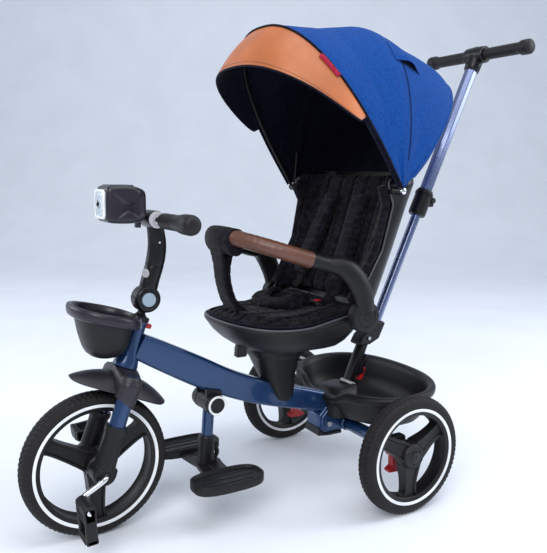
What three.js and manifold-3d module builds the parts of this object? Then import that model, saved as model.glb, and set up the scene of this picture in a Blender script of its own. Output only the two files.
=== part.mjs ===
// Children's tricycle with a push handle, a folding canopy and a seat on a pedestal.
// Millimetres, +Z up, -Y is the front, +X is the rider's left.
// The origin is on the ground, under the middle of the bounding box.
import * as THREE from "three";
import { mergeVertices } from "three/addons/utils/BufferGeometryUtils.js";
import Module from "manifold-3d";

const wasm = await Module();
wasm.setup();

// ---------- driving dimensions ----------
const GAP = 0.3; // between pieces that touch
const ORIGIN_Y = -3.9; // brings the origin under the middle of the whole
const RAKE = THREE.MathUtils.degToRad(19); // steering axis, leaning back
const BAR_LEAN = THREE.MathUtils.degToRad(24.6); // push bar, leaning back
const FRONT = { y: -431, radius: 144, half: 22.5, bead: 118, hubRadius: 23, hubHalf: 29 };
const REAR = { y: 164, track: 243, radius: 127, half: 20, bead: 98, hubRadius: 27, hubHalf: 19 };
const AXLE_RADIUS = 6;
const STEERER_RADIUS = 12.5;
const LEG_X = 50; // fork legs from the centre plane
const LEG_RADIUS = 16;
const STEERER_TOP = 299;
const HEAD_TUBE = { low: 196.5, high: 289 }; // heights up the steering axis from the front axle
const DRUM = { up: 335, radius: 26.5, core: 7.5, half: 18.5 }; // folding joint of the stem
const HANDLEBAR = { y: -307, z: 617, radius: 10.5, half: 186, grip: 60, end: 197 };
const MAIN_TUBE_HALF = 20;
// Centre line of the main tube: y, z and the tube's height there.
const MAIN_TUBE = [
  [-342, 369, 52], [-290, 341, 58], [-214, 300, 62], [-150, 268, 58],
  [-96, 245, 56], [-30, 222, 53], [45, 201, 50], [128, 177, 47],
];
const FOOT = { y: -184, z: 230, hub: 15, hubHalf: 20 }; // footrest pivot
const SEAT_HALF = 154;
const SWIVEL_Y = -22; // the seat turns on the pedestal about this upright line
const PIVOT = { y: 85, z: 418 }; // backrest and bumper bar turn about this line
const HINGE = { x: 205, y: 149, z: 676 }; // canopy hinge line
const BEAM_RADIUS = 15;
const BAR = { y: 248, z: 320, inner: 11.5, outer: 16, clampLow: 321, head: 757 };

// ---------- small helpers ----------
const V = (x, y, z) => new THREE.Vector3(x, y, z);
const deg = THREE.MathUtils.degToRad;
const lerp = THREE.MathUtils.lerp;
const power = (value, exponent) => Math.sign(value) * Math.abs(value) ** exponent;

function signedVolume(points, faces) {
  let volume = 0;
  for (const [a, b, c] of faces) {
    volume += points[a].dot(points[b].clone().cross(points[c]));
  }
  return volume / 6;
}

// A closed geometry from points and triangles, turned so that its faces point out.
function closed(points, faces) {
  const flip = signedVolume(points, faces) < 0;
  const geometry = new THREE.BufferGeometry().setFromPoints(points);
  geometry.setIndex(faces.flatMap(([a, b, c]) => (flip ? [a, c, b] : [a, b, c])));
  geometry.computeVertexNormals();
  return geometry;
}

// Skins a row of rings that have equal numbers of points, and closes both ends.
function loft(rings) {
  const n = rings[0].length;
  const points = rings.flat();
  const faces = [];
  for (let i = 0; i + 1 < rings.length; i++) {
    for (let j = 0; j < n; j++) {
      const a = i * n + j;
      const b = i * n + ((j + 1) % n);
      faces.push([a, b, b + n], [a, b + n, a + n]);
    }
  }
  for (const [start, turned] of [[0, true], [(rings.length - 1) * n, false]]) {
    const middle = points.length;
    const sum = points.slice(start, start + n).reduce((s, p) => s.add(p), V(0, 0, 0));
    points.push(sum.divideScalar(n));
    for (let j = 0; j < n; j++) {
      const a = start + j;
      const b = start + ((j + 1) % n);
      faces.push(turned ? [middle, b, a] : [middle, a, b]);
    }
  }
  return closed(points, faces);
}

// A plate between two grids of points, closed round its border.
function plate(outer, inner) {
  const rows = outer.length;
  const n = outer[0].length;
  const points = [...outer.flat(), ...inner.flat()];
  const under = rows * n;
  const faces = [];
  for (let i = 0; i + 1 < rows; i++) {
    for (let j = 0; j + 1 < n; j++) {
      const a = i * n + j;
      faces.push([a, a + 1, a + n + 1], [a, a + n + 1, a + n]);
      faces.push([a + under, a + n + 1 + under, a + 1 + under]);
      faces.push([a + under, a + n + under, a + n + 1 + under]);
    }
  }
  const edge = [];
  for (let j = 0; j < n; j++) edge.push(j);
  for (let i = 1; i < rows; i++) edge.push(i * n + n - 1);
  for (let j = n - 2; j >= 0; j--) edge.push((rows - 1) * n + j);
  for (let i = rows - 2; i > 0; i--) edge.push(i * n);
  edge.forEach((a, k) => {
    const b = edge[(k + 1) % edge.length];
    faces.push([b, a, a + under], [b, a + under, b + under]);
  });
  return closed(points, faces);
}

// A round rod between two points; its radius may change along it.
function rod(from, to, radius, endRadius = radius, sides = 16) {
  const along = to.clone().sub(from);
  const geometry = new THREE.CylinderGeometry(endRadius, radius, along.length(), sides);
  const turn = new THREE.Quaternion().setFromUnitVectors(V(0, 1, 0), along.clone().normalize());
  geometry.applyQuaternion(turn);
  return geometry.translate(...from.clone().add(to).multiplyScalar(0.5));
}

// A rod along X, centred in height and depth on y and z.
const crossRod = (x0, x1, y, z, radius, sides = 18) => rod(V(x0, y, z), V(x1, y, z), radius, radius, sides);

// Any closed geometry, rebuilt so that its faces point out.
function outward(geometry) {
  const flat = geometry.index ? geometry.toNonIndexed() : geometry;
  const position = flat.attributes.position;
  const points = [];
  const faces = [];
  for (let i = 0; i < position.count; i++) points.push(V(0, 0, 0).fromBufferAttribute(position, i));
  for (let i = 0; i < position.count; i += 3) faces.push([i, i + 1, i + 2]);
  return closed(points, faces);
}

// A lathe about Z from [radius, height] pairs.
function turned(profile, sides) {
  const outline = profile.map(([r, h]) => new THREE.Vector2(r, h));
  return outward(new THREE.LatheGeometry(outline, sides).rotateX(Math.PI / 2));
}

// A round tube along a smooth curve.
function swept(points, radius, steps, sides = 8) {
  const circle = new THREE.Shape().absarc(0, 0, radius, 0, 2 * Math.PI);
  const path = new THREE.CatmullRomCurve3(points);
  return new THREE.ExtrudeGeometry(circle, { extrudePath: path, steps, curveSegments: sides });
}

// A pipe whose centre line and radius are given at each [x, y, z, radius] station.
function pipe(stations, sides) {
  const centres = stations.map(([x, y, z]) => V(x, y, z));
  const rings = stations.map(([, , , radius], i) => {
    const before = centres[Math.max(i - 1, 0)];
    const after = centres[Math.min(i + 1, centres.length - 1)];
    const along = after.clone().sub(before).normalize();
    const across = V(0, 0, 1).cross(along).lengthSq() > 0.01 ? V(0, 0, 1) : V(0, 1, 0);
    const u = across.cross(along).normalize();
    const w = along.clone().cross(u);
    return Array.from({ length: sides }, (_, k) => {
      const a = (2 * Math.PI * k) / sides;
      const offset = u.clone().multiplyScalar(radius * Math.cos(a));
      return centres[i].clone().add(offset).addScaledVector(w, radius * Math.sin(a));
    });
  });
  return loft(rings);
}

// A box with its vertical edges rounded, standing on z0.
function block(x0, x1, y0, y1, z0, z1, round = 4) {
  const shape = new THREE.Shape();
  const w = x1 - x0;
  const d = y1 - y0;
  shape.moveTo(round, 0).lineTo(w - round, 0).absarc(w - round, round, round, -Math.PI / 2, 0);
  shape.lineTo(w, d - round).absarc(w - round, d - round, round, 0, Math.PI / 2);
  shape.lineTo(round, d).absarc(round, d - round, round, Math.PI / 2, Math.PI);
  shape.lineTo(0, round).absarc(round, round, round, Math.PI, 1.5 * Math.PI);
  const options = { depth: z1 - z0, bevelEnabled: false, curveSegments: 2 };
  return new THREE.ExtrudeGeometry(shape, options).translate(x0, y0, z0);
}

// A profile in the Y-Z plane, given as [y, z] pairs, made solid from x0 to x1.
function sideCut(outline, x0, x1) {
  const shape = new THREE.Shape(outline.map(([y, z]) => new THREE.Vector2(y, z)));
  const geometry = new THREE.ExtrudeGeometry(shape, { depth: x1 - x0, bevelEnabled: false });
  geometry.rotateY(Math.PI / 2).rotateX(Math.PI / 2);
  return geometry.translate(x0, 0, 0);
}

// A horizontal superellipse ring.
function oval(halfX, halfY, y, z, exponent = 2.2, count = 32, tilt = 0) {
  const ring = [];
  for (let i = 0; i < count; i++) {
    const t = (2 * Math.PI * i) / count;
    const dy = halfY * power(Math.sin(t), 2 / exponent);
    ring.push(V(halfX * power(Math.cos(t), 2 / exponent), y + dy, z + tilt * dy));
  }
  return ring;
}

function solid(geometry) {
  const bare = geometry.clone();
  for (const name of Object.keys(bare.attributes)) if (name !== "position") bare.deleteAttribute(name);
  const merged = mergeVertices(bare, 1e-3);
  const mesh = new wasm.Mesh({
    numProp: 3,
    vertProperties: merged.attributes.position.array,
    triVerts: new Uint32Array(merged.index.array),
  });
  return new wasm.Manifold(mesh);
}

function toGeometry(manifold) {
  const { vertProperties, triVerts } = manifold.getMesh();
  const geometry = new THREE.BufferGeometry();
  geometry.setAttribute("position", new THREE.BufferAttribute(vertProperties, 3));
  geometry.setIndex(new THREE.BufferAttribute(triVerts, 1));
  geometry.computeVertexNormals();
  return geometry;
}

const join = (...shapes) => toGeometry(shapes.map(solid).reduce((a, b) => a.add(b)));
const cut = (shape, ...tools) =>
  toGeometry(tools.map(solid).reduce((left, tool) => left.subtract(tool), solid(shape)));

// ---------- materials ----------
const finish = (color, roughness, metalness = 0) =>
  new THREE.MeshStandardMaterial({ color, roughness, metalness });
const BLUE_PAINT = finish(0x24406e, 0.35, 0.4);
const BLACK_PLASTIC = finish(0x17171a, 0.55);
const GREY_PLASTIC = finish(0x2b2d31, 0.6);
const RUBBER = finish(0x1c1b1d, 0.8);
const CHROME = finish(0xc8ccd2, 0.15, 1);
const STEEL = finish(0x8a8f96, 0.35, 1);
const PALE_BLUE_PAINT = finish(0x6d7fa3, 0.35, 0.6);
const RED_PLASTIC = finish(0xb81d22, 0.45);
const LENS = finish(0xe6ecf2, 0.1);
const SILVER_BUTTON = finish(0x9db2c4, 0.4);
const BLACK_FABRIC = finish(0x19171c, 0.95);
const BLUE_FABRIC = finish(0x1d4c96, 0.9);
const TAN_LEATHER = finish(0xc06a2e, 0.5);
const BROWN_LEATHER = finish(0x6b3a25, 0.5);

const tricycle = new THREE.Group();
tricycle.position.y = ORIGIN_Y;
const group = (parent, x = 0, y = 0, z = 0) => {
  const made = new THREE.Group();
  made.position.set(x, y, z);
  parent.add(made);
  return made;
};

function add(parent, name, geometry, material) {
  const mesh = new THREE.Mesh(geometry, material);
  mesh.name = name;
  parent.add(mesh);
  return mesh;
}

// ---------- wheels ----------
// Both are made about the X axis, centred on the hub.
function tyre({ radius, half, bead }) {
  const profile = [[bead, half - 2.5], [bead + 6, half], [radius - 8, half - 1.5], [radius, half - 10]];
  const far = profile.map(([r, h]) => [r, -h]).reverse();
  return turned([...profile, ...far, profile[0]], 28).rotateY(Math.PI / 2);
}

function rim({ half, bead, hubRadius, hubHalf }) {
  const rimOuter = bead - GAP;
  const rimInner = bead - 8;
  const side = half - 3;
  const barrel = turned(
    [[rimInner, -side], [rimOuter, -side], [rimOuter, side], [rimInner, side], [rimInner, -side]],
    28,
  );
  const hub = turned([[0, -hubHalf], [hubRadius, -hubHalf], [hubRadius, hubHalf], [0, hubHalf]], 16);
  const parts = [barrel, hub];
  for (const turn of [0, 120, 240]) {
    const reach = rimInner + 3;
    const spoke = loft([
      [V(-19, 6, -13), V(19, 6, -13), V(19, 6, 13), V(-19, 6, 13)],
      [V(-14, reach, -10), V(14, reach, -10), V(14, reach, 10), V(-14, reach, 10)],
    ]);
    parts.push(spoke.rotateZ(deg(turn)));
  }
  const bore = rod(V(0, 0, -hubHalf - 1), V(0, 0, hubHalf + 1), AXLE_RADIUS + GAP);
  return cut(join(...parts), bore).rotateY(Math.PI / 2).rotateX(-Math.PI / 2);
}

// ---------- main frame ----------
function roundedSection(halfWidth, halfHeight, corner) {
  const ring = [];
  for (const [sx, sz, start] of [[1, -1, -90], [1, 1, 0], [-1, 1, 90], [-1, -1, 180]]) {
    for (let k = 0; k <= 3; k++) {
      const a = deg(start + 30 * k);
      ring.push([
        sx * (halfWidth - corner) + corner * Math.cos(a),
        sz * (halfHeight - corner) + corner * Math.sin(a),
      ]);
    }
  }
  return ring;
}

// The bevelled main tube; grow makes the larger copy that cuts its neighbours.
function mainTubeShape(grow = 0) {
  const rings = MAIN_TUBE.map(([y, z, height], i) => {
    const [y0, z0] = MAIN_TUBE[Math.max(i - 1, 0)];
    const [y1, z1] = MAIN_TUBE[Math.min(i + 1, MAIN_TUBE.length - 1)];
    const along = V(0, y1 - y0, z1 - z0).normalize();
    const up = V(0, -along.z, along.y);
    const shift = i === MAIN_TUBE.length - 1 ? grow : 0;
    const section = roundedSection(MAIN_TUBE_HALF + grow, height / 2 + grow, 9);
    return section.map(([x, h]) => V(x, y, z).addScaledVector(up, h).addScaledVector(along, shift));
  });
  return loft(rings);
}

// A solid of revolution round the steering axis, placed in the tricycle's own frame.
const aboutSteering = (geometry) => geometry.rotateX(-RAKE).translate(0, FRONT.y, FRONT.radius);

function headTubeBody(grow = 0, bore = STEERER_RADIUS + GAP) {
  const { low, high } = HEAD_TUBE;
  const outside = [[25, low], [24, low + 10], [19, low + 34], [17, low + 60], [17, high]];
  const profile = outside.map(([r, h]) => [r + grow, h]);
  if (bore) return turned([[bore, low], ...profile, [bore, high], [bore, low]], 20);
  return turned([[0, low - grow], ...profile, [0, high + grow]], 20);
}

function buildFrame() {
  add(tricycle, "head_tube", aboutSteering(headTubeBody()), BLUE_PAINT);
  const tube = cut(mainTubeShape(), aboutSteering(headTubeBody(GAP, 0)));
  add(tricycle, "main_tube", tube, BLUE_PAINT);
}

// The pedestal's top carries the seat and its two flanks run down the sides of the main tube.
function seatPedestal() {
  const levels = [
    [20, 8, 0, 200], [25, 17, -3, 210], [31, 31, -10, 240], [36, 42, -18, 272],
    [46, 54, -22, 308], [56, 64, -22, 326], [58, 66, -22, 336],
  ];
  const rings = levels.map(([halfX, halfY, y, z]) => oval(Math.max(halfX, 25), halfY, y, z, 3, 20));
  const bore = rod(V(0, SWIVEL_Y, 315), V(0, SWIVEL_Y, 340), 20 + GAP, 20 + GAP, 20);
  return cut(loft(rings), mainTubeShape(GAP), bore);
}

// ---------- rear end ----------
const barPoint = (along, x = 0) =>
  V(x, BAR.y + along * Math.sin(BAR_LEAN), BAR.z + along * Math.cos(BAR_LEAN));
const POST_SHIFT = -16; // the post stands this far in front of the push bar's line
const postPoint = (along) => barPoint(along).add(V(0, POST_SHIFT, 0));
const rearPost = (grow = 0) => rod(postPoint(-148 - grow), postPoint(10), 14 + grow, 14 + grow, 16);

// The release lever hinges on a pin between two ears behind the post.
const LEVER = { along: -85, behind: 22, half: 6, pin: 3 };
const LEVER_AT = postPoint(LEVER.along).add(V(0, LEVER.behind, 0));

function postWithEars() {
  const { y, z } = LEVER_AT;
  const ears = [1, -1].map((side) => {
    const [inside, outside] = [side * (LEVER.half + GAP), side * 10.5].sort((a, b) => a - b);
    return sideCut([[y - 20, z - 14], [y + 6, z - 7], [y + 6, z + 7], [y - 14, z + 9]], inside, outside);
  });
  return cut(join(rearPost(), ...ears), crossRod(-20, 20, y, z, LEVER.pin + GAP, 12));
}

function postLever() {
  const outline = [[-6, -22], [5, -20], [15, 8], [21, 34], [12, 34], [-1, 8]];
  const blade = sideCut(outline, -LEVER.half, LEVER.half);
  return join(blade, crossRod(-10, 10, 0, 0, LEVER.pin, 12));
}

function rearBracket() {
  const outline = [
    [86, 154], [86, 122], [102, 111], [177, 111], [186, 122], [192, 170], [186, 198], [130, 198],
  ];
  const body = sideCut(outline, -25, 25);
  const beam = crossRod(-40, 40, REAR.y, REAR.radius, BEAM_RADIUS + GAP);
  return cut(body, beam, mainTubeShape(GAP), rearPost(GAP));
}

function rearBasket() {
  const [y, lift] = [228, 0.065];
  const rim = (inset, z) => oval(200 - inset, 130 - inset, y, z, 2.3, 20, lift);
  const rings = [
    oval(146, 86, y, 151, 2.3, 20), oval(164, 102, y, 160, 2.3, 20), oval(184, 118, y, 208, 2.3, 20, lift),
    rim(2, 214), rim(0, 226), rim(3, 232), rim(14, 231), rim(22, 214),
    oval(160, 98, y, 165, 2.3, 20), oval(142, 82, y, 155, 2.3, 20),
  ];
  const saddle = loft([
    oval(58, 48, 152, 152, 3, 16), oval(54, 48, 152, 196, 3, 16), oval(34, 38, 160, 216, 3, 16),
  ]);
  const bracketRoom = [[60, 214], [60, 100], [193, 100], [193, 172], [187, 206], [126, 206]];
  const clearance = sideCut(bracketRoom, -26, 26);
  return cut(join(loft(rings), saddle), clearance, mainTubeShape(2), rearPost(1));
}

function buildRearEnd() {
  const { y, radius: z, track, half } = REAR;
  add(tricycle, "rear_bracket", rearBracket(), PALE_BLUE_PAINT);
  const beamEnd = track - half - 9;
  const beam = cut(
    crossRod(-beamEnd, beamEnd, y, z, BEAM_RADIUS),
    crossRod(-beamEnd - 1, beamEnd + 1, y, z, AXLE_RADIUS + GAP),
  );
  add(tricycle, "rear_axle_beam", beam, BLUE_PAINT);
  add(tricycle, "rear_axle", crossRod(-track - 21, track + 21, y, z, AXLE_RADIUS), STEEL);
  add(tricycle, "rear_post", postWithEars(), BLACK_PLASTIC);
  add(group(tricycle, 0, LEVER_AT.y, LEVER_AT.z), "post_release_lever", postLever(), RED_PLASTIC);
  add(tricycle, "rear_basket", rearBasket(), BLACK_PLASTIC);
  for (const [name, side] of [["left", 1], ["right", -1]]) {
    const wheel = group(tricycle, side * track, y, z);
    add(wheel, `rear_tyre_${name}`, tyre(REAR), RUBBER);
    add(wheel, `rear_rim_${name}`, rim(REAR), BLACK_PLASTIC);
    const lever = brakeLever();
    add(group(tricycle, side * 197, y, z), `brake_lever_${name}`, lever, RED_PLASTIC);
  }
}

// A ring on the axle beam with a foot pad below it.
function brakeLever() {
  const ring = crossRod(-8, 8, 0, 0, 22);
  const outline = [[-12, -16], [12, -16], [16, -36], [22, -48], [14, -56], [-22, -52], [-12, -38]];
  const arm = sideCut(outline, -8, 8);
  return cut(join(ring, arm), crossRod(-9, 9, 0, 0, BEAM_RADIUS + GAP));
}

// ---------- steering ----------
// Steerer, crown and two legs; grow makes the larger copy that cuts its neighbours.
function fork(grow = 0) {
  const crown = block(-60 - grow, 60 + grow, -17 - grow, 17 + grow, 166 - grow, 190 + grow, 10);
  const steerer = rod(V(0, 0, 180), V(0, 0, STEERER_TOP + grow), STEERER_RADIUS + grow);
  const legs = [-LEG_X, LEG_X].map((x) => {
    const radius = LEG_RADIUS + grow;
    return rod(V(x, 0, 62 - grow), V(x, 0, 176), radius, radius, 16);
  });
  return join(crown, steerer, ...legs);
}

// The leg's lower cover runs from its collar down to a round housing about the axle.
function forkBoot(side) {
  const x = side * LEG_X;
  const sleeve = rod(V(x, 0, 10), V(x, 0, 84), 20, 19.5, 16);
  const housing = rod(V(side * 33, 0, 0), V(side * 70, 0, 0), 23, 21, 20);
  const leg = rod(V(x, 0, 62 - GAP), V(x, 0, 90), LEG_RADIUS + GAP, LEG_RADIUS + GAP, 16);
  const bore = crossRod(side * 20, side * 80, 0, 0, AXLE_RADIUS + GAP, 16);
  return cut(join(sleeve, housing), leg, bore);
}

// The fender arches over the tyre, narrows to both tips, and its shoulders cover the fork's crown.
function fender() {
  const surface = (offset) => {
    const rows = [];
    for (let i = 0; i <= 6; i++) {
      const s = i / 3 - 1;
      const angle = deg(s * (s < 0 ? 30 : 35));
      const half = 44 * Math.sqrt(1 - 0.9 * s * s);
      const crest = 184 - 5 * s + offset;
      const row = [];
      for (let j = -3; j <= 3; j++) {
        const drop = 31 * (1 - 0.4 * s * s) * Math.abs(j / 3) ** 2.2;
        const radius = crest - drop;
        row.push(V((half * j) / 3, radius * Math.sin(angle), radius * Math.cos(angle)));
      }
      rows.push(row);
    }
    return rows;
  };
  const sheet = plate(surface(0), surface(-3));
  const shoulders = [-LEG_X, LEG_X].map((x) => rod(V(x, 0, 136), V(x, 0, 184), 20.5, 21.5, 14));
  const cover = loft([
    oval(72, 24, 0, 160, 3.2, 16), oval(73, 25, 0, 176, 3.2, 16),
    oval(58, 25, 0, 188, 3, 16), oval(30, 24, 0, 195.8, 2.4, 16),
  ]);
  return cut(join(sheet, cover, ...shoulders), fork(GAP));
}

// Collar on the steerer with the core of the folding joint above it.
function stemBase() {
  const collar = turned([[0, 289.6], [18, 289.6], [19, 292], [19, 299], [7.2, 306], [0, 306]], 16);
  const neck = rod(V(0, 0, 300), V(0, 0, DRUM.up), 7.2);
  const core = crossRod(-DRUM.core, DRUM.core, 0, DRUM.up, DRUM.radius - 2);
  const steerer = rod(V(0, 0, 280), V(0, 0, STEERER_TOP + GAP), STEERER_RADIUS + GAP);
  return cut(join(collar, neck, core), steerer);
}

function buildFork(raked) {
  add(raked, "fork", fork(), BLUE_PAINT);
  add(raked, "fork_boot_left", forkBoot(1), BLACK_PLASTIC);
  add(raked, "fork_boot_right", forkBoot(-1), BLACK_PLASTIC);
  add(raked, "front_fender", fender(), GREY_PLASTIC);
  add(raked, "stem_base", stemBase(), BLACK_PLASTIC);
}

// Two cheeks hug the folding joint's core; the curved tube above them ends in the bar clamp.
// Made round the joint's own centre.
const DRUM_AT = { y: FRONT.y + DRUM.up * Math.sin(RAKE), z: FRONT.radius + DRUM.up * Math.cos(RAKE) };
const CLAMP = V(0, HANDLEBAR.y - DRUM_AT.y, HANDLEBAR.z - DRUM_AT.z);
const BUTTON = { radius: 14, from: 13.2, face: 21.5 };

function stem() {
  const { core, half, radius } = DRUM;
  const drum = crossRod(-half, half, 0, 0, radius);
  const line = [[5, 16, 15], [10, 34, 15], [21, 70, 15.5], [26, 105, 15], [22, 140, 14]];
  const rings = line.map(([y, z, r]) => oval(r * 0.94, r, y, z, 2.2, 16));
  const clamp = crossRod(-26, 26, CLAMP.y, CLAMP.z, 17.5, 20);
  const slot = crossRod(-core - GAP, core + GAP, 0, 0, radius - 1);
  const neckRoom = sideCut([[-34, 0], [-34, -34], [34, -34], [34, -6], [0, 0]], -core - GAP, core + GAP);
  const pocket = crossRod(10, half + 1, 0, 0, BUTTON.radius + GAP, 20);
  const bore = crossRod(-30, 30, CLAMP.y, CLAMP.z, HANDLEBAR.radius + GAP);
  return cut(join(drum, loft(rings), clamp), slot, neckRoom, pocket, bore);
}

function grip(side) {
  const { radius, grip: from, half, end } = HANDLEBAR;
  const profile = [
    [0, half + GAP], [radius + GAP, half + GAP], [radius + GAP, from], [14, from], [15, from + 6],
    [15, from + 70], [18.5, from + 100], [18.5, end - 14], [12, end - 2], [0, end],
  ];
  return turned(profile, 16).rotateY((side * Math.PI) / 2);
}

// The lamp stands in front of the bar clamp; stations are [y, half width, half height, centre height].
const LAMP_FRONT = -99;

function lampHousing() {
  const stations = [
    [LAMP_FRONT, 29, 27, 30], [LAMP_FRONT + 5, 34, 33, 30], [-66, 37, 36, 30],
    [-42, 36, 34, 29], [-22, 26, 27, 28], [-18.5, 18, 18, 27],
  ];
  const rings = stations.map(([y, halfX, halfZ, z]) =>
    roundedSection(halfX, halfZ, 10).map(([x, h]) => V(x, y, z + h)),
  );
  const tab = block(-6, 6, -34, -24, -16, 6, 2);
  return cut(join(loft(rings), tab), crossRod(-40, 40, 0, 0, 17.5 + 2 * GAP, 20));
}

function lampLens() {
  const rings = [[LAMP_FRONT - GAP, 25], [LAMP_FRONT - 5, 25], [LAMP_FRONT - 7, 20]].map(([y, half]) =>
    roundedSection(half, half, 8).map(([x, h]) => V(x, y, 30 + h)),
  );
  return loft(rings);
}

function buildStem(steering) {
  const turning = group(steering, 0, DRUM_AT.y - FRONT.y, DRUM_AT.z - FRONT.radius);
  add(turning, "handlebar_stem", stem(), BLACK_PLASTIC);
  const button = crossRod(BUTTON.from, BUTTON.face, 0, 0, BUTTON.radius, 20);
  add(turning, "stem_lock_button", button, SILVER_BUTTON);
  const bar = group(turning, 0, CLAMP.y, CLAMP.z);
  add(bar, "handlebar", crossRod(-HANDLEBAR.half, HANDLEBAR.half, 0, 0, HANDLEBAR.radius, 20), CHROME);
  add(bar, "grip_left", grip(1), RUBBER);
  add(bar, "grip_right", grip(-1), RUBBER);
  add(bar, "lamp_housing", lampHousing(), BLACK_PLASTIC);
  add(bar, "lamp_lens", lampLens(), LENS);
}

// The crank axle crosses the hub; an arm at each end leads to a pedal spindle, one opposite the other.
const CRANK = { length: 60, lean: deg(61.3), arm: 78, spindle: 88, end: 146, radius: 5 };
const spindleAt = (side) => ({
  y: -side * CRANK.length * Math.sin(CRANK.lean),
  z: -side * CRANK.length * Math.cos(CRANK.lean),
});

function crankAxle() {
  const { arm, end, radius } = CRANK;
  const parts = [crossRod(-arm, arm, 0, 0, AXLE_RADIUS, 16)];
  for (const side of [1, -1]) {
    const { y, z } = spindleAt(side);
    parts.push(rod(V(side * arm, -y * 0.1, -z * 0.1), V(side * arm, y, z), radius, radius, 12));
    parts.push(crossRod(side * (arm - 5), side * end, y, z, radius - 0.5, 12));
  }
  return join(...parts);
}

// A pedal hangs from its spindle: a knuckle round the spindle and a tread with a window in it.
function pedal(side) {
  const { spindle, end, radius } = CRANK;
  const [x0, x1] = side > 0 ? [spindle, end - 2] : [2 - end, -spindle];
  const knuckle = crossRod(x0, x1, 0, 0, 11, 16);
  const tread = block(x0, x1, -11, 11, -62, 8, 3);
  const window = block(x0 + 9, x1 - 9, -20, 20, -52, -18, 3);
  return cut(join(cut(tread, window), knuckle), crossRod(x0 - 1, x1 + 1, 0, 0, radius + GAP, 12));
}

function buildFrontWheel(steering) {
  const wheel = group(steering);
  add(wheel, "front_tyre", tyre(FRONT), RUBBER);
  add(wheel, "front_rim", rim(FRONT), BLACK_PLASTIC);
  add(wheel, "crank_axle", crankAxle(), CHROME);
  for (const [name, side, turn] of [["left", 1, 4], ["right", -1, -84]]) {
    const { y, z } = spindleAt(side);
    const mesh = add(group(wheel, 0, y, z), `pedal_${name}`, pedal(side), BLACK_PLASTIC);
    mesh.rotation.x = deg(turn);
  }
}

function buildSteering() {
  const steering = group(tricycle, 0, FRONT.y, FRONT.radius);
  const raked = group(steering);
  raked.rotation.x = -RAKE;
  buildFork(raked);
  buildStem(steering);
  buildFrontWheel(steering);
}

// ---------- front basket ----------
// An oval tub whose rim band stands proud of its wall and dips towards the head tube.
function frontBasket() {
  const tilt = -0.25;
  const ring = (halfX, halfY, z, lean = 0) => oval(halfX, halfY, -406, z, 2.3, 18, lean);
  const outside = [ring(34, 26, 358), ring(50, 40, 370), ring(62, 50, 408), ring(65, 55, 422, tilt)];
  const band = [
    ring(75, 66, 425, tilt), ring(78, 68, 440, tilt), ring(74, 64, 446, tilt), ring(68, 59, 444, tilt),
  ];
  const inside = [ring(61, 52, 422, tilt), ring(58, 46, 408), ring(47, 37, 374), ring(32, 24, 362)];
  const collarRoom = aboutSteering(rod(V(0, 0, 286), V(0, 0, 330), 21));
  return cut(loft([...outside, ...band, ...inside]), aboutSteering(headTubeBody(GAP, 0)), collarRoom);
}

// A small red catch at the back of the head tube's upper end.
const steeringLatch = () => aboutSteering(block(-6, 6, 17.4, 27, 279, 288.6, 2));

// ---------- footrest ----------
const FOOT_LEAN = 7.5; // the footrest post's reach forwards over its length
const FOOT_DROP = 118;

function footrestBracket() {
  const { y, z, hub, hubHalf } = FOOT;
  const cheeks = [[hubHalf + GAP, 32], [-32, -hubHalf - GAP]]
    .map(([a, b]) => crossRod(a, b, y, z, 22.5, 20));
  const bridge = sideCut([[y - 17, z + 4], [y + 17, z + 4], [y + 17, z + 60], [y - 17, z + 60]], -32, 32);
  const hubRoom = crossRod(-hubHalf - GAP, hubHalf + GAP, y, z, hub + 1);
  const pin = crossRod(-40, 40, y, z, 5 + GAP, 12);
  const above = [[y - 40, z + 48], [y + 40, z + 20], [y + 40, z + 90], [y - 40, z + 90]];
  const overTube = sideCut(above, -40, 40);
  return cut(join(...cheeks, bridge), hubRoom, pin, mainTubeShape(GAP), overTube);
}

function footrestPin() {
  const { y, z } = FOOT;
  const pin = crossRod(-38, 38, y, z, 5, 12);
  const heads = [[32.4, 42], [-42, -32.4]].map(([a, b]) => crossRod(a, b, y, z, 21, 20));
  return join(pin, ...heads);
}

const footrestTube = (grow = 0) => rod(V(0, 0, -4), V(0, -FOOT_LEAN, -FOOT_DROP - grow), 12.5 + grow);

function footrestPost() {
  const { hub, hubHalf } = FOOT;
  const post = join(crossRod(-hubHalf, hubHalf, 0, 0, hub), footrestTube());
  return cut(post, crossRod(-30, 30, 0, 0, 5 + GAP, 12));
}

// Sleeve on the post, with two oblong foot plates on a forked web.
function footPlates() {
  const sleeve = rod(V(0, -4.8, -78), V(0, -9, -142), 17.5, 17.5, 16);
  const knob = crossRod(-7, 7, 12, -98, 8, 12);
  const dish = (x) => {
    const outline = (inset, z) => oval(40 - inset, 77 - inset, -8, z, 3, 16).map((p) => p.add(V(x, 0, 0)));
    return loft([outline(3, -146), outline(0, -143), outline(0, -126), outline(4, -126), outline(4, -131)]);
  };
  const web = block(-72, 72, -34, 14, -144, -135, 10);
  return cut(join(sleeve, knob, web, dish(102), dish(-102)), footrestTube(GAP));
}

function buildFootrest() {
  add(tricycle, "footrest_bracket", footrestBracket(), BLACK_PLASTIC);
  add(tricycle, "footrest_pin", footrestPin(), BLACK_PLASTIC);
  const folding = group(tricycle, 0, FOOT.y, FOOT.z);
  add(folding, "footrest_post", footrestPost(), BLUE_PAINT);
  add(folding, "foot_plates", footPlates(), BLACK_PLASTIC);
}

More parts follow.
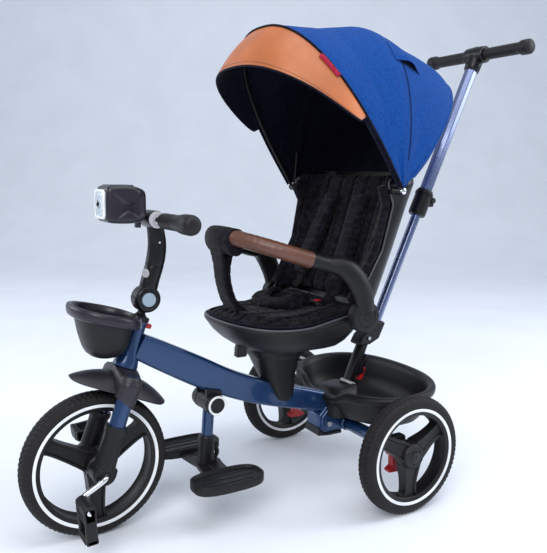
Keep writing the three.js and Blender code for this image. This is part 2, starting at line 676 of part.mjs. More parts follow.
// ---------- seat ----------
// Plan outline: half an oval in front, straight sides, and rounded corners behind.
function seatRing(half, front, back, z, rise = 0) {
  const ring = [];
  const middle = -20;
  const corner = 34;
  for (let i = 0; i <= 14; i++) {
    const t = Math.PI + (Math.PI * i) / 14;
    ring.push(V(half * power(Math.cos(t), 0.86), middle + (middle - front) * power(Math.sin(t), 0.86), z));
  }
  for (const [x, start] of [[half - corner, 0], [corner - half, 90]]) {
    for (let k = 0; k <= 3; k++) {
      const a = deg(start + 30 * k);
      ring.push(V(x + corner * Math.cos(a), back - corner + corner * Math.sin(a), z));
    }
  }
  for (const p of ring) {
    const along = (p.y - front) / (back - front);
    p.z += rise * along * (2.7 * along - 1.7); // dips along the sides, rises to the back
  }
  return ring;
}

function seatShell() {
  const rings = [
    seatRing(92, -96, 62, 336.3), seatRing(114, -120, 82, 344), seatRing(143, -154, 102, 372, 8),
    seatRing(150, -168, 108, 394, 24), seatRing(SEAT_HALF, -172, 112, 397, 25),
    seatRing(SEAT_HALF, -172, 112, 403, 25), seatRing(148, -166, 106, 403, 25),
    seatRing(137, -148, 98, 376, 8), seatRing(108, -114, 78, 349), seatRing(88, -92, 60, 342),
  ];
  return join(loft(rings), rod(V(0, SWIVEL_Y, 316), V(0, SWIVEL_Y, 339), 20, 20, 20));
}

function seatCushion() {
  const rings = [
    seatRing(86, -90, 58, 342.6), seatRing(106, -112, 74, 350), seatRing(134, -144, 90, 377.6, 6),
    seatRing(143, -160, 94, 402, 20), seatRing(139, -158, 90, 410, 18), seatRing(112, -132, 74, 416, 8),
  ];
  return loft(rings);
}

const BUCKLE = { x: 60, y: 48, z: 424 };
const BUCKLE_ROOM = 22; // half length of the buckle's place in the cushion

function buildSeat() {
  const seat = group(tricycle);
  add(seat, "seat_shell", seatShell(), BLACK_PLASTIC);
  const { x, y, z } = BUCKLE;
  const place = block(x - BUCKLE_ROOM, x + BUCKLE_ROOM, y - 14, y + 14, z - 3, z + 46, 3);
  add(seat, "seat_cushion", cut(seatCushion(), place), BLACK_FABRIC);
  const at = group(seat, x, y, z - 3 + GAP);
  const socket = block(-7.3, 7.3, -7.3, 7.3, 8, 20, 2);
  add(at, "harness_buckle", cut(block(-20, 20, -12, 12, 0, 14, 5), socket), BLACK_PLASTIC);
  add(at, "buckle_button", block(-7, 7, -7, 7, 10.5, 16.5, 2), RED_PLASTIC);
  const tab = sideCut([[-118, 318], [-98, 318], [-98, 336.2], [-118, 342.6]], -8, 8);
  add(seat, "seat_release_tab", tab, BLACK_PLASTIC);
}

// ---------- backrest ----------
// Each level gives height, the wings' front edge, the rear face and the half width.
const BACK_LEVELS = [
  [390, 66, 124, 162], [414, 62, 130, 162], [460, 90, 150, 163], [552, 140, 184, 167],
  [646, 160, 214, 173], [690, 140, 228, 178], [716, 166, 236, 166],
];

// A channel section: outside from one wing round the back to the other, then back inside.
function channel([z, front, back, half], depth, inset, side = 5) {
  const path = (h, b, f) => {
    const points = [V(h, f, z)];
    const corner = 40;
    const quarter = [0, 30, 60, 90].map((a) => [corner * Math.cos(deg(a)), corner * Math.sin(deg(a))]);
    for (const [dx, dy] of quarter) points.push(V(h - corner + dx, b - corner + dy, z));
    for (const [dx, dy] of quarter.reverse()) points.push(V(corner - h - dx, b - corner + dy, z));
    points.push(V(-h, f, z));
    return points;
  };
  return [path(half - inset, back - inset, front), path(half - inset - side, back - inset - depth, front)];
}

function backrestShell() {
  const walls = BACK_LEVELS.map((level) => channel(level, 5, 0));
  const shell = plate(walls.map(([outer]) => outer), walls.map(([, inner]) => inner));
  const pins = [1, -1].map((side) => crossRod(side * 172, side * (HINGE.x + 5), HINGE.y, HINGE.z, 3, 12));
  const bosses = [1, -1].map((side) => crossRod(side * 171, side * 188, HINGE.y, HINGE.z, 8, 16));
  return join(shell, ...pins, ...bosses);
}

// The channel's dimensions at any height between two levels.
function levelAt(z) {
  const i = Math.max(1, BACK_LEVELS.findIndex(([height]) => height >= z));
  const [low, high] = [BACK_LEVELS[i - 1], BACK_LEVELS[i]];
  return low.map((value, k) => lerp(value, high[k], (z - low[0]) / (high[0] - low[0])));
}

// The padded liner lines the channel, thickest across the back; its wings stand forward of the shell.
function backrestLiner() {
  const clear = 5 + GAP + 1.2;
  const [back, front] = [[], []];
  for (const z of [440, 470, 506, 552, 600, 646, 690]) {
    const [near, far] = channel(levelAt(z), 34, clear, 18);
    for (const path of [near, far]) for (const end of [path[0], path.at(-1)]) end.y -= 12;
    back.push(near);
    front.push(far);
  }
  return plate(back, front);
}

// ---------- bumper bar ----------
function bumperLine(count) {
  const points = [];
  for (let i = 0; i <= count; i++) {
    const a = (Math.PI * i) / count;
    const reach = 161 * power(Math.sin(a), 0.9);
    points.push(V(150 * power(Math.cos(a), 0.9), 7 - reach, 528 + 52 * Math.sin(a)));
  }
  return points;
}

function bumperFrame() {
  const parts = [swept(bumperLine(12), 10, 16, 2)];
  const arm = [
    [181, 84, 430, 15], [181, 80, 456, 14.5], [179, 68, 486, 14.5], [173, 50, 511, 15],
    [163, 30, 524, 15.5], [150.5, 9, 528, 15.5],
  ];
  for (const side of [1, -1]) {
    parts.push(pipe(arm.map(([x, ...rest]) => [side * x, ...rest]), 12));
    parts.push(crossRod(side * 164, side * 188, PIVOT.y, PIVOT.z, 33));
  }
  return join(...parts);
}

function bumperCover() {
  const line = bumperLine(12).slice(1, -1);
  return cut(swept(line, 15.5, 16, 3), swept(bumperLine(12), 10 + 3 * GAP, 16, 2));
}

// ---------- canopy ----------
const ARCH_BASE = 43;
const TOP_ANGLES = [-52, -33.3, -24, -15, -6, 3, 20, 38, 60];
const TOP_RADII = [372, 391, 364, 356, 356, 355, 343, 335, 312];

// The front arch is squarer than those behind it.
const squareness = (angle) => lerp(2.45, 2, THREE.MathUtils.clamp((angle + 33.3) / 18, 0, 1));

function topRadius(angle) {
  const i = Math.max(1, TOP_ANGLES.findIndex((a) => a >= angle));
  const s = (angle - TOP_ANGLES[i - 1]) / (TOP_ANGLES[i] - TOP_ANGLES[i - 1]);
  return lerp(TOP_RADII[i - 1], TOP_RADII[i], s);
}

// Arch outline as [x, radius from the hinge line], from the left foot over the top to the right foot.
function archLine(half, top, angle, start, count) {
  const line = [];
  const exponent = 2 / squareness(angle);
  for (let i = 0; i <= count; i++) {
    const t = start + ((Math.PI - 2 * start) * i) / count;
    const rise = Math.abs(Math.sin(t)) ** exponent;
    line.push([half * power(Math.cos(t), exponent), ARCH_BASE + (top - ARCH_BASE) * rise]);
  }
  return line;
}

const onArch = ([x, radius], angle) =>
  V(x, radius * Math.sin(deg(angle)), radius * Math.cos(deg(angle)));

function canopyPanel(fromAngle, toAngle, inset) {
  const thickness = 3;
  const grid = (shrink) => {
    const rows = [];
    for (let i = 0; i <= 3; i++) {
      const angle = lerp(fromAngle, toAngle, i / 3);
      const line = archLine(212 - inset - shrink, topRadius(angle) - inset - shrink, angle, 0.06, 18);
      rows.push(line.map((p) => onArch(p, angle)));
    }
    return rows;
  };
  return plate(grid(0), grid(thickness));
}

function canopyHoop(angle, half, top, x) {
  const line = archLine(half, top, angle, 0.12, 18).map((p) => onArch(p, angle));
  const foot = (side) => [V(side * x, 0, 0), onArch([side * x, 22], angle)];
  const path = [...foot(1), ...line, ...foot(-1).reverse()];
  const eyes = [1, -1].map((side) => crossRod(side * (x - 4.3), side * (x + 4.3), 0, 0, 8, 14));
  const pins = [1, -1].map((side) => crossRod(side * (x - 7), side * (x + 7), 0, 0, 3 + GAP, 12));
  return cut(join(swept(path, 4.3, 22, 2), ...eyes), ...pins);
}

// The stiff visor reaches forward of the front arch, most of all above its corners.
function canopyVisor() {
  const grid = (shrink) => {
    const rows = [];
    for (let i = 0; i <= 3; i++) {
      const row = archLine(212 - shrink, 391 - shrink, -33.3, 0.3, 18).map(([x, radius], j) => {
        const reach = (i / 3) * Math.sin((Math.PI * j) / 18) ** 0.3;
        return onArch([x * (1 + 0.079 * reach), radius - 18.4 * reach], -33.2 - i * 0.4 - 15 * reach);
      });
      rows.push(row);
    }
    return rows;
  };
  return plate(grid(0), grid(3));
}

function buildUpperSeat() {
  add(tricycle, "backrest_shell", backrestShell(), BLACK_PLASTIC);
  add(tricycle, "backrest_liner", backrestLiner(), BLACK_FABRIC);
  add(tricycle, "bumper_frame", bumperFrame(), BLACK_PLASTIC);
  add(tricycle, "bumper_cover", bumperCover(), BROWN_LEATHER);
  const canopy = group(tricycle, 0, HINGE.y, HINGE.z);
  add(canopy, "canopy_front_hoop", canopyHoop(-33.5, 203.5, 382, HINGE.x - 1), BLACK_PLASTIC);
  add(canopy, "canopy_middle_hoop", canopyHoop(3, 194.5, 344, HINGE.x - 10.5), BLACK_PLASTIC);
  add(canopy, "canopy_front_panel", canopyPanel(-32.5, 0, 0), BLUE_FABRIC);
  add(canopy, "canopy_middle_panel", canopyPanel(4.5, 33, 4.5), BLUE_FABRIC);
  add(canopy, "canopy_rear_panel", canopyPanel(34, 56, 9), BLUE_FABRIC);
  add(canopy, "canopy_visor", canopyVisor(), TAN_LEATHER);
}

// ---------- push bar ----------
function buildPushBar() {
  const { inner, outer, clampLow, head } = BAR;
  const lower = rod(barPoint(8), barPoint(470), inner);
  add(tricycle, "push_bar_lower_tube", lower, PALE_BLUE_PAINT);
  const [y, z] = [BAR.y, BAR.z];
  const outline = [
    [y - 46, z - 14], [y - 14, z - 14], [y + 14, z - 2], [y + 32, z + 34], [y - 2, z + 36], [y - 36, z + 8],
  ];
  const carrier = sideCut(outline, -19, 19);
  const bracket = cut(carrier, rod(barPoint(8 - GAP), barPoint(80), inner + GAP), rearPost(GAP));
  add(tricycle, "push_bar_bracket", bracket, BLACK_PLASTIC);
  const tube = cut(
    rod(barPoint(clampLow + 18), barPoint(head - 16), outer, outer, 8),
    rod(barPoint(clampLow), barPoint(head - 40), inner + GAP),
  );
  add(tricycle, "push_bar_upper_tube", tube, PALE_BLUE_PAINT);
  const tab = barPoint(clampLow + 30);
  const sleeve = join(
    rod(barPoint(clampLow), barPoint(clampLow + 66), 21, 20),
    block(-9, 9, tab.y + 12, tab.y + 38, tab.z - 8, tab.z + 16, 4),
  );
  const clamp = cut(
    sleeve,
    rod(barPoint(clampLow - 5), barPoint(clampLow + 20), inner + GAP),
    rod(barPoint(clampLow + 18 - GAP), barPoint(head), outer + GAP, outer + GAP, 8),
  );
  add(tricycle, "push_bar_clamp", clamp, BLACK_PLASTIC);
  buildHandle();
}

function buildHandle() {
  const { outer, head, clampLow } = BAR;
  const at = barPoint(head);
  const handle = group(tricycle, at.x, at.y, at.z);
  const local = (along) => barPoint(head + along).sub(at);
  const body = join(
    crossRod(-30, 30, 0, 0, 20),
    rod(local(-44), local(0), 18.5, 20),
    rod(V(0, 0, 0), V(0, 6, 14), 16, 14, 16),
  );
  const [towards, top] = [V(0, 6, 14).normalize(), 19];
  const buttonFrom = towards.clone().multiplyScalar(top - 6);
  const pocketFrom = towards.clone().multiplyScalar(top - 9.5);
  const pocket = rod(pocketFrom, towards.clone().multiplyScalar(40), 8 + GAP);
  const tube = rod(local(clampLow - head), local(-16 + GAP), outer + GAP, outer + GAP, 8);
  const bore = crossRod(-40, 40, 0, 0, 7 + GAP, 16);
  add(handle, "push_handle_head", cut(body, pocket, tube, bore), BLACK_PLASTIC);
  const button = rod(buttonFrom, towards.clone().multiplyScalar(top + 1.5), 8, 7.5, 16);
  add(handle, "handle_button", button, BLACK_PLASTIC);
  const half = [[0, 165], [12, 165], [17.5, 160], [17.5, 140], [14, 132], [14, 31], [7, 30.3]];
  const otherHalf = half.map(([r, x]) => [r, -x]).reverse();
  add(handle, "push_handle_grips", turned([...half, ...otherHalf], 16).rotateY(Math.PI / 2), RUBBER);
}

buildFrame();
add(tricycle, "seat_pedestal", seatPedestal(), BLACK_PLASTIC);
buildRearEnd();
buildSteering();
add(tricycle, "front_basket", frontBasket(), BLACK_PLASTIC);
add(tricycle, "steering_latch", steeringLatch(), RED_PLASTIC);
buildFootrest();
buildSeat();
buildUpperSeat();
buildPushBar();

export default tricycle;
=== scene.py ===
"""Looks for the children's tricycle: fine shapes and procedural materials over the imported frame."""

import math

import bmesh
import bpy
import numpy as np
from mathutils import Matrix, Vector


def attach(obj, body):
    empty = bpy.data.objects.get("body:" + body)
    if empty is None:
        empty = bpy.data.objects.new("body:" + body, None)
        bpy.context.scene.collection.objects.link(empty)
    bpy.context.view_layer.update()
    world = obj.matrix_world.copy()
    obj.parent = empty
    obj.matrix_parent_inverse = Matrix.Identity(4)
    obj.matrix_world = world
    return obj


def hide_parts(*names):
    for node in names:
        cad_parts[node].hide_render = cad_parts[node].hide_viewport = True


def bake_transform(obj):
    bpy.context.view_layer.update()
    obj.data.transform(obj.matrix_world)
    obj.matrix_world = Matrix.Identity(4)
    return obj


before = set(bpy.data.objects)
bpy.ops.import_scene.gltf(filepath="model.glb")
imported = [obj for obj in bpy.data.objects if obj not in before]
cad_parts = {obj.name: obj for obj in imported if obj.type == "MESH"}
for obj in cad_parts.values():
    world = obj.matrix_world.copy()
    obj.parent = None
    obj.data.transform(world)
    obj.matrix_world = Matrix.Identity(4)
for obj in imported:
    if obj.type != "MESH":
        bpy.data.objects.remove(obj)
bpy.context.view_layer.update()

# ---------- dimensions, in millimetres in the maker's frame ----------
ORIGIN_Y = -3.9
RAKE = math.radians(19)
BAR_LEAN = math.radians(24.6)
FRONT = dict(y=-431, radius=144, half=22.5, bead=118, hub=23, hub_half=29)
REAR = dict(y=164, radius=127, half=20, bead=98, hub=27, hub_half=19, track=243)
DRUM = dict(y=-431 + 335 * math.sin(RAKE), z=144 + 335 * math.cos(RAKE), radius=26.5, half=18.5)
BAR_CLAMP = (-307, 617)
FOOT = (-184, 230)
PIVOT = (85, 418)
HINGE = dict(x=205, y=149, z=676)
PUSH = dict(y=248, z=320)
CRANK = dict(length=60, lean=math.radians(61.3))
MAIN_TUBE = [
    (-342, 369, 52), (-290, 341, 58), (-214, 300, 62), (-150, 268, 58),
    (-96, 245, 56), (-30, 222, 53), (45, 201, 50), (128, 177, 47),
]

SIDES = ((1, "left"), (-1, "right"))

# ---------- point sets ----------
def ring_angles(count):
    return np.arange(count) * 2 * math.pi / count


def signed_power(value, exponent):
    return np.sign(value) * np.abs(value) ** exponent


def smooth(value):
    """0 below 0, 1 above 1 and an even change between them."""
    t = np.clip(value, 0, 1)
    return t * t * (3 - 2 * t)


def steer(points):
    """From the steering frame (Z up the raked axis, origin on the front axle)."""
    x, y, z = np.asarray(points, float).reshape(-1, 3).T
    c, s = math.cos(RAKE), math.sin(RAKE)
    return np.stack([x, y * c + z * s + FRONT["y"], -y * s + z * c + FRONT["radius"]], 1)


def moved(points, offset):
    return np.asarray(points, float).reshape(-1, 3) + np.asarray(offset, float)


def turned_x(points, angle):
    x, y, z = np.asarray(points, float).reshape(-1, 3).T
    c, s = math.cos(angle), math.sin(angle)
    return np.stack([x, y * c - z * s, y * s + z * c], 1)


def turned_z(points, angle):
    x, y, z = np.asarray(points, float).reshape(-1, 3).T
    c, s = math.cos(angle), math.sin(angle)
    return np.stack([x * c - y * s, x * s + y * c, z], 1)


def along_bar(along, shift=0.0):
    """A point on the push bar's line, from its foot."""
    return np.array([0, PUSH["y"] + shift + along * math.sin(BAR_LEAN),
                     PUSH["z"] + along * math.cos(BAR_LEAN)])


def spline(points, count):
    """Points spread evenly along a smooth curve through the given ones (any number of columns)."""
    p = np.asarray(points, float)
    p = np.vstack([2 * p[0] - p[1], p, 2 * p[-1] - p[-2]])
    out = []
    spans = len(p) - 3
    for k in range(count):
        t = k / (count - 1) * spans
        i = min(int(t), spans - 1)
        t -= i
        a, b, c, d = p[i:i + 4]
        out.append(0.5 * (2 * b + (c - a) * t + (2 * a - 5 * b + 4 * c - d) * t**2
                          + (3 * b - a - 3 * c + d) * t**3))
    return np.array(out)


# ---------- shapes: each is (points, faces) ----------
def loft(rings, ends=True, closed=False):
    rings = [np.asarray(r, float) for r in rings]
    n, count = len(rings[0]), len(rings)
    faces = []
    for i in range(count if closed else count - 1):
        k = (i + 1) % count
        for j in range(n):
            m = (j + 1) % n
            faces.append((i * n + j, i * n + m, k * n + m, k * n + j))
    points = list(np.vstack(rings))
    if ends and not closed:
        for start in (0, (count - 1) * n):
            points.append(np.mean(points[start:start + n], axis=0))
            middle = len(points) - 1
            faces += [(middle, start + j, start + (j + 1) % n) for j in range(n)]
    return np.array(points), faces


def lathe(profile, count=64, closed=False):
    """Turns [radius, x] pairs about the X axis."""
    a = ring_angles(count)
    rings = [np.stack([np.full(count, x), r * np.cos(a), r * np.sin(a)], 1) for r, x in profile]
    return loft(rings, ends=not closed, closed=closed)


def barrel(radius, half, count=64):
    """A plain round bar along X, as long either way."""
    return lathe([(0, -half), (radius, -half), (radius, half), (0, half)], count)


def lathe_up(profile, count=64):
    """Turns [radius, z] pairs about the Z axis."""
    a = ring_angles(count)
    return loft([np.stack([r * np.cos(a), r * np.sin(a), np.full(count, z)], 1) for r, z in profile])


def tube(path, radius, count=24, squash=1.0, up=(0, 0, 1)):
    """A tube along points; radius and squash are one number each or one for each point."""
    path = np.asarray(path, float)
    radii = np.broadcast_to(np.asarray(radius, float), len(path))
    squashes = np.broadcast_to(np.asarray(squash, float), len(path))
    a = ring_angles(count)
    along = np.gradient(path, axis=0)
    along /= np.linalg.norm(along, axis=1)[:, None]
    u = np.cross(np.asarray(up, float), along[0])
    if np.linalg.norm(u) < 0.05:
        u = np.cross((0, 1, 0), along[0])
    rings = []
    for p, t, r, flat in zip(path, along, radii, squashes):
        u = u - t * u.dot(t)
        u /= np.linalg.norm(u)
        w = np.cross(t, u)
        rings.append(p + r * np.outer(np.cos(a), u) + r * flat * np.outer(np.sin(a), w))
    return loft(rings)


def strap(path, width, thickness, across, count=None):
    """A flat band with rounded edges along points; across is the direction of its width."""
    path = np.asarray(path, float)
    count = count or len(path)
    path = spline(path, count)
    widths = spline(np.broadcast_to(np.asarray(width, float).reshape(-1, 1), (max(2, np.size(width)), 1)),
                    count)
    across = np.broadcast_to(np.asarray(across, float), (count, 3))
    along = np.gradient(path, axis=0)
    along /= np.linalg.norm(along, axis=1)[:, None]
    a = ring_angles(16)
    rings = []
    for p, t, (w,), side in zip(path, along, widths, across):
        u = side - t * side.dot(t)
        u /= np.linalg.norm(u)
        n = np.cross(t, u)
        cx = signed_power(np.cos(a), 0.45) * w / 2
        cz = signed_power(np.sin(a), 0.7) * thickness / 2
        rings.append(p + np.outer(cx, u) + np.outer(cz, n))
    return loft(rings)


def plate(outer, inner):
    """A sheet between two grids of points, closed round its border."""
    outer, inner = np.asarray(outer, float), np.asarray(inner, float)
    rows, n = outer.shape[:2]
    under = rows * n
    faces = []
    for i in range(rows - 1):
        for j in range(n - 1):
            a = i * n + j
            faces.append((a, a + 1, a + n + 1, a + n))
            faces.append((a + under, a + n + under, a + n + 1 + under, a + 1 + under))
    edge = list(range(n)) + [i * n + n - 1 for i in range(1, rows)]
    edge += [(rows - 1) * n + j for j in range(n - 2, -1, -1)] + [i * n for i in range(rows - 2, 0, -1)]
    for k, a in enumerate(edge):
        b = edge[(k + 1) % len(edge)]
        faces.append((b, a, a + under, b + under))
    return np.vstack([outer.reshape(-1, 3), inner.reshape(-1, 3)]), faces


def span(side, near, far):
    """Two places across the tricycle on one side of it, the smaller first."""
    return sorted((side * near, side * far))


def rounded_box(x0, x1, y0, y1, z0, z1, round_by=2.0):
    """A block whose every edge is rounded."""
    r = min(round_by, (x1 - x0) / 2.01, (y1 - y0) / 2.01, (z1 - z0) / 2.01)
    rings = []
    for k in range(-3, 4):
        pull = r * (1 - math.cos(math.radians(abs(k) * 30)))
        lift = r * math.sin(math.radians(abs(k) * 30))
        z = (z1 - r + lift) if k > 0 else (z0 + r - lift) if k < 0 else None
        levels = [z] if z is not None else [z0 + r, z1 - r]
        for level in levels:
            ring = []
            for sx, sy, start in ((1, 1, 0), (-1, 1, 90), (-1, -1, 180), (1, -1, 270)):
                cx = (x1 if sx > 0 else x0) - sx * r
                cy = (y1 if sy > 0 else y0) - sy * r
                for step in range(4):
                    a = math.radians(start + 30 * step)
                    ring.append((cx + (r - pull) * math.cos(a), cy + (r - pull) * math.sin(a), level))
            rings.append(np.array(ring))
    return loft(rings)


def side_cut(outline, x0, x1):
    """A profile of [y, z] pairs made solid between two places along X, its flat ends one face each."""
    n = len(outline)
    points = [(x, y, z) for x in (x0, x1) for y, z in outline]
    faces = [(j, (j + 1) % n, (j + 1) % n + n, j + n) for j in range(n)]
    return np.array(points, float), faces + [tuple(range(n)), tuple(range(n, 2 * n))]


def hexagon(radius, x0, x1):
    """A bolt head along X."""
    corners = [(radius * math.cos(a), radius * math.sin(a)) for a in ring_angles(6)]
    return side_cut(corners, x0, x1)


def rod(start, end, radius, end_radius=None, count=32):
    end_radius = radius if end_radius is None else end_radius
    steps = np.linspace(0, 1, 3)[:, None]
    path = np.asarray(start, float) * (1 - steps) + np.asarray(end, float) * steps
    return tube(path, [radius, (radius + end_radius) / 2, end_radius], count)


def mirrored(shape):
    points, faces = shape
    return np.asarray(points, float) * (-1, 1, 1), faces


def oval(half_x, half_y, y, z, exponent=2.3, count=72, tilt=0.0):
    t = ring_angles(count)
    dy = half_y * signed_power(np.sin(t), 2 / exponent)
    return np.stack([half_x * signed_power(np.cos(t), 2 / exponent), y + dy, z + tilt * dy], 1)


def rounded_section(half_width, half_height, corner, steps=6):
    ring = []
    for sx, sz, start in ((1, -1, -90), (1, 1, 0), (-1, 1, 90), (-1, -1, 180)):
        for k in range(steps + 1):
            a = math.radians(start + 90 * k / steps)
            ring.append((sx * (half_width - corner) + corner * math.cos(a),
                         sz * (half_height - corner) + corner * math.sin(a)))
    return np.array(ring)


def resampled(line, count, loop=False):
    """Points spread evenly by length along a line or a loop."""
    line = np.asarray(line, float)
    if loop:
        line = np.vstack([line, line[:1]])
    run = np.concatenate([[0], np.cumsum(np.linalg.norm(np.diff(line, axis=0), axis=1))])
    at = np.linspace(0, run[-1], count + 1)[:-1] if loop else np.linspace(0, run[-1], count)
    return np.stack([np.interp(at, run, column) for column in line.T], 1)


def placed(shape, change):
    points, faces = shape
    return change(points), faces


def steered(*shapes):
    return [placed(shape, steer) for shape in shapes]


def shifted(shape, offset):
    return placed(shape, lambda p: moved(p, offset))


# ---------- pieces ----------
def piece(name, shapes, material, body, replaces=(), sharp=38, bevel=0.0):
    """Joins shapes into one mesh in the row frame and lets it ride on a body; with no body it stays free."""
    mesh = bpy.data.meshes.new(name)
    build = bmesh.new()
    for points, faces in shapes:
        points = np.array(points, float)
        points[:, 1] += ORIGIN_Y
        made = [build.verts.new(p / 1000) for p in points]
        for face in faces:
            corners = [made[i] for i in face]
            if len(set(corners)) == len(corners):
                build.faces.new(corners)
    bmesh.ops.remove_doubles(build, verts=build.verts, dist=1e-6)
    bmesh.ops.dissolve_degenerate(build, edges=build.edges, dist=1e-7)
    bmesh.ops.recalc_face_normals(build, faces=build.faces)
    for edge in build.edges:
        if len(edge.link_faces) == 2 and edge.calc_face_angle(0) > math.radians(sharp):
            edge.smooth = False
    for face in build.faces:
        face.smooth = True
    build.to_mesh(mesh)
    build.free()
    made = bpy.data.objects.new(name, mesh)
    bpy.context.scene.collection.objects.link(made)
    mesh.materials.append(material)
    if bevel:
        cut = made.modifiers.new("edges", "BEVEL")
        cut.width, cut.segments, cut.limit_method = bevel / 1000, 2, "ANGLE"
        cut.angle_limit = math.radians(sharp)
    if replaces:
        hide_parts(*([replaces] if isinstance(replaces, str) else replaces))
    if body:
        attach(made, body)
    return made


# ---------- materials ----------
def nodes_of(material):
    return material.node_tree.nodes, material.node_tree.links


def texture(material, kind, scale, stretch=(1, 1, 1), detail=4.0, **extra):
    """A 3-D texture on object coordinates, so that it moves with its piece and needs no unwrapping."""
    nodes, links = nodes_of(material)
    place = nodes.new("ShaderNodeTexCoord")
    mapping = nodes.new("ShaderNodeMapping")
    mapping.inputs["Scale"].default_value = stretch
    links.new(place.outputs["Object"], mapping.inputs["Vector"])
    node = nodes.new(f"ShaderNodeTex{kind}")
    links.new(mapping.outputs["Vector"], node.inputs["Vector"])
    node.inputs["Scale"].default_value = scale
    if "Detail" in node.inputs:
        node.inputs["Detail"].default_value = detail
    for key, value in extra.items():
        setattr(node, key, value)
    return node


def ramp(material, source, stops):
    nodes, links = nodes_of(material)
    node = nodes.new("ShaderNodeValToRGB")
    node.color_ramp.elements[0].position, node.color_ramp.elements[0].color = stops[0][0], (*stops[0][1], 1)
    node.color_ramp.elements[1].position, node.color_ramp.elements[1].color = stops[-1][0], (*stops[-1][1], 1)
    for position, color in stops[1:-1]:
        node.color_ramp.elements.new(position).color = (*color, 1)
    links.new(source, node.inputs["Fac"])
    return node


def math_node(material, operation, first, second):
    nodes, links = nodes_of(material)
    node = nodes.new("ShaderNodeMath")
    node.operation = operation
    for value, socket in ((first, node.inputs[0]), (second, node.inputs[1])):
        if isinstance(value, (int, float)):
            socket.default_value = value
        else:
            links.new(value, socket)
    return node.outputs[0]


def shader(name, roughness, metallic=0.0, coat=0.0, coat_roughness=0.1, sheen=0.0, specular=0.5):
    material = bpy.data.materials.new(name)
    material.use_nodes = True
    base = material.node_tree.nodes["Principled BSDF"]
    base.inputs["Roughness"].default_value = roughness
    base.inputs["Metallic"].default_value = metallic
    base.inputs["Coat Weight"].default_value = coat
    base.inputs["Coat Roughness"].default_value = coat_roughness
    base.inputs["Sheen Weight"].default_value = sheen
    base.inputs["Specular IOR Level"].default_value = specular
    return material, base


def shade(color, factor):
    return tuple(min(1.0, c * factor) for c in color)


def add_bump(material, base, height, distance, strength):
    nodes, links = nodes_of(material)
    bump = nodes.new("ShaderNodeBump")
    bump.inputs["Distance"].default_value = distance
    bump.inputs["Strength"].default_value = strength
    links.new(height, bump.inputs["Height"])
    links.new(bump.outputs["Normal"], base.inputs["Normal"])


def vary_roughness(material, base, low, high, scale=35.0):
    nodes, links = nodes_of(material)
    noise = texture(material, "Noise", scale, detail=6.0)
    span = nodes.new("ShaderNodeMapRange")
    span.inputs["To Min"].default_value, span.inputs["To Max"].default_value = low, high
    links.new(noise.outputs["Fac"], span.inputs["Value"])
    links.new(span.outputs["Result"], base.inputs["Roughness"])


def moulded(name, color, roughness=0.5, grain=1400.0, strength=0.25, coat=0.0, wear=1.7, specular=0.5):
    """Injection-moulded plastic or rubber: a fine eroded grain, faint mottling and rubbed, paler edges."""
    material, base = shader(name, roughness, coat=coat, specular=specular)
    nodes, links = nodes_of(material)
    mottle = texture(material, "Noise", 22.0, detail=5.0)
    tone = ramp(material, mottle.outputs["Fac"], [(0.3, shade(color, 0.82)), (0.7, shade(color, 1.16))])
    edges = nodes.new("ShaderNodeNewGeometry")
    rub = ramp(material, edges.outputs["Pointiness"], [(0.53, (0, 0, 0)), (0.60, (1, 1, 1))])
    breakup = texture(material, "Noise", 160.0, detail=3.0)
    worn = math_node(material, "MULTIPLY", rub.outputs["Color"], breakup.outputs["Fac"])
    mix = nodes.new("ShaderNodeMix")
    mix.data_type = "RGBA"
    links.new(worn, mix.inputs["Factor"])
    links.new(tone.outputs["Color"], mix.inputs["A"])
    mix.inputs["B"].default_value = (*shade(color, wear), 1)
    links.new(mix.outputs["Result"], base.inputs["Base Color"])
    vary_roughness(material, base, roughness - 0.08, roughness + 0.08)
    fine = texture(material, "Noise", grain, detail=2.0)
    add_bump(material, base, fine.outputs["Fac"], 0.0004, strength)
    return material


def painted(name, color, roughness=0.28, metallic=0.55):
    """Metallic lacquer: flakes under a clear coat, with a slight orange peel."""
    material, base = shader(name, roughness, metallic=metallic, coat=0.5, coat_roughness=0.06)
    links = material.node_tree.links
    flakes = texture(material, "Voronoi", 1500.0)
    tone = ramp(material, flakes.outputs["Color"], [(0.15, shade(color, 0.8)), (0.9, shade(color, 1.3))])
    links.new(tone.outputs["Color"], base.inputs["Base Color"])
    vary_roughness(material, base, roughness - 0.06, roughness + 0.06, 18.0)
    peel = texture(material, "Noise", 300.0, detail=1.0)
    add_bump(material, base, peel.outputs["Fac"], 0.0003, 0.12)
    return material


def bright_metal(name, color, roughness):
    material, base = shader(name, roughness, metallic=1.0)
    links = material.node_tree.links
    brushed = texture(material, "Noise", 60.0, stretch=(0.25, 4, 4), detail=6.0)
    tone = ramp(material, brushed.outputs["Fac"], [(0.3, shade(color, 0.85)), (0.7, shade(color, 1.08))])
    links.new(tone.outputs["Color"], base.inputs["Base Color"])
    vary_roughness(material, base, max(0.03, roughness - 0.05), roughness + 0.08, 90.0)
    add_bump(material, base, brushed.outputs["Fac"], 0.0002, 0.05)
    return material


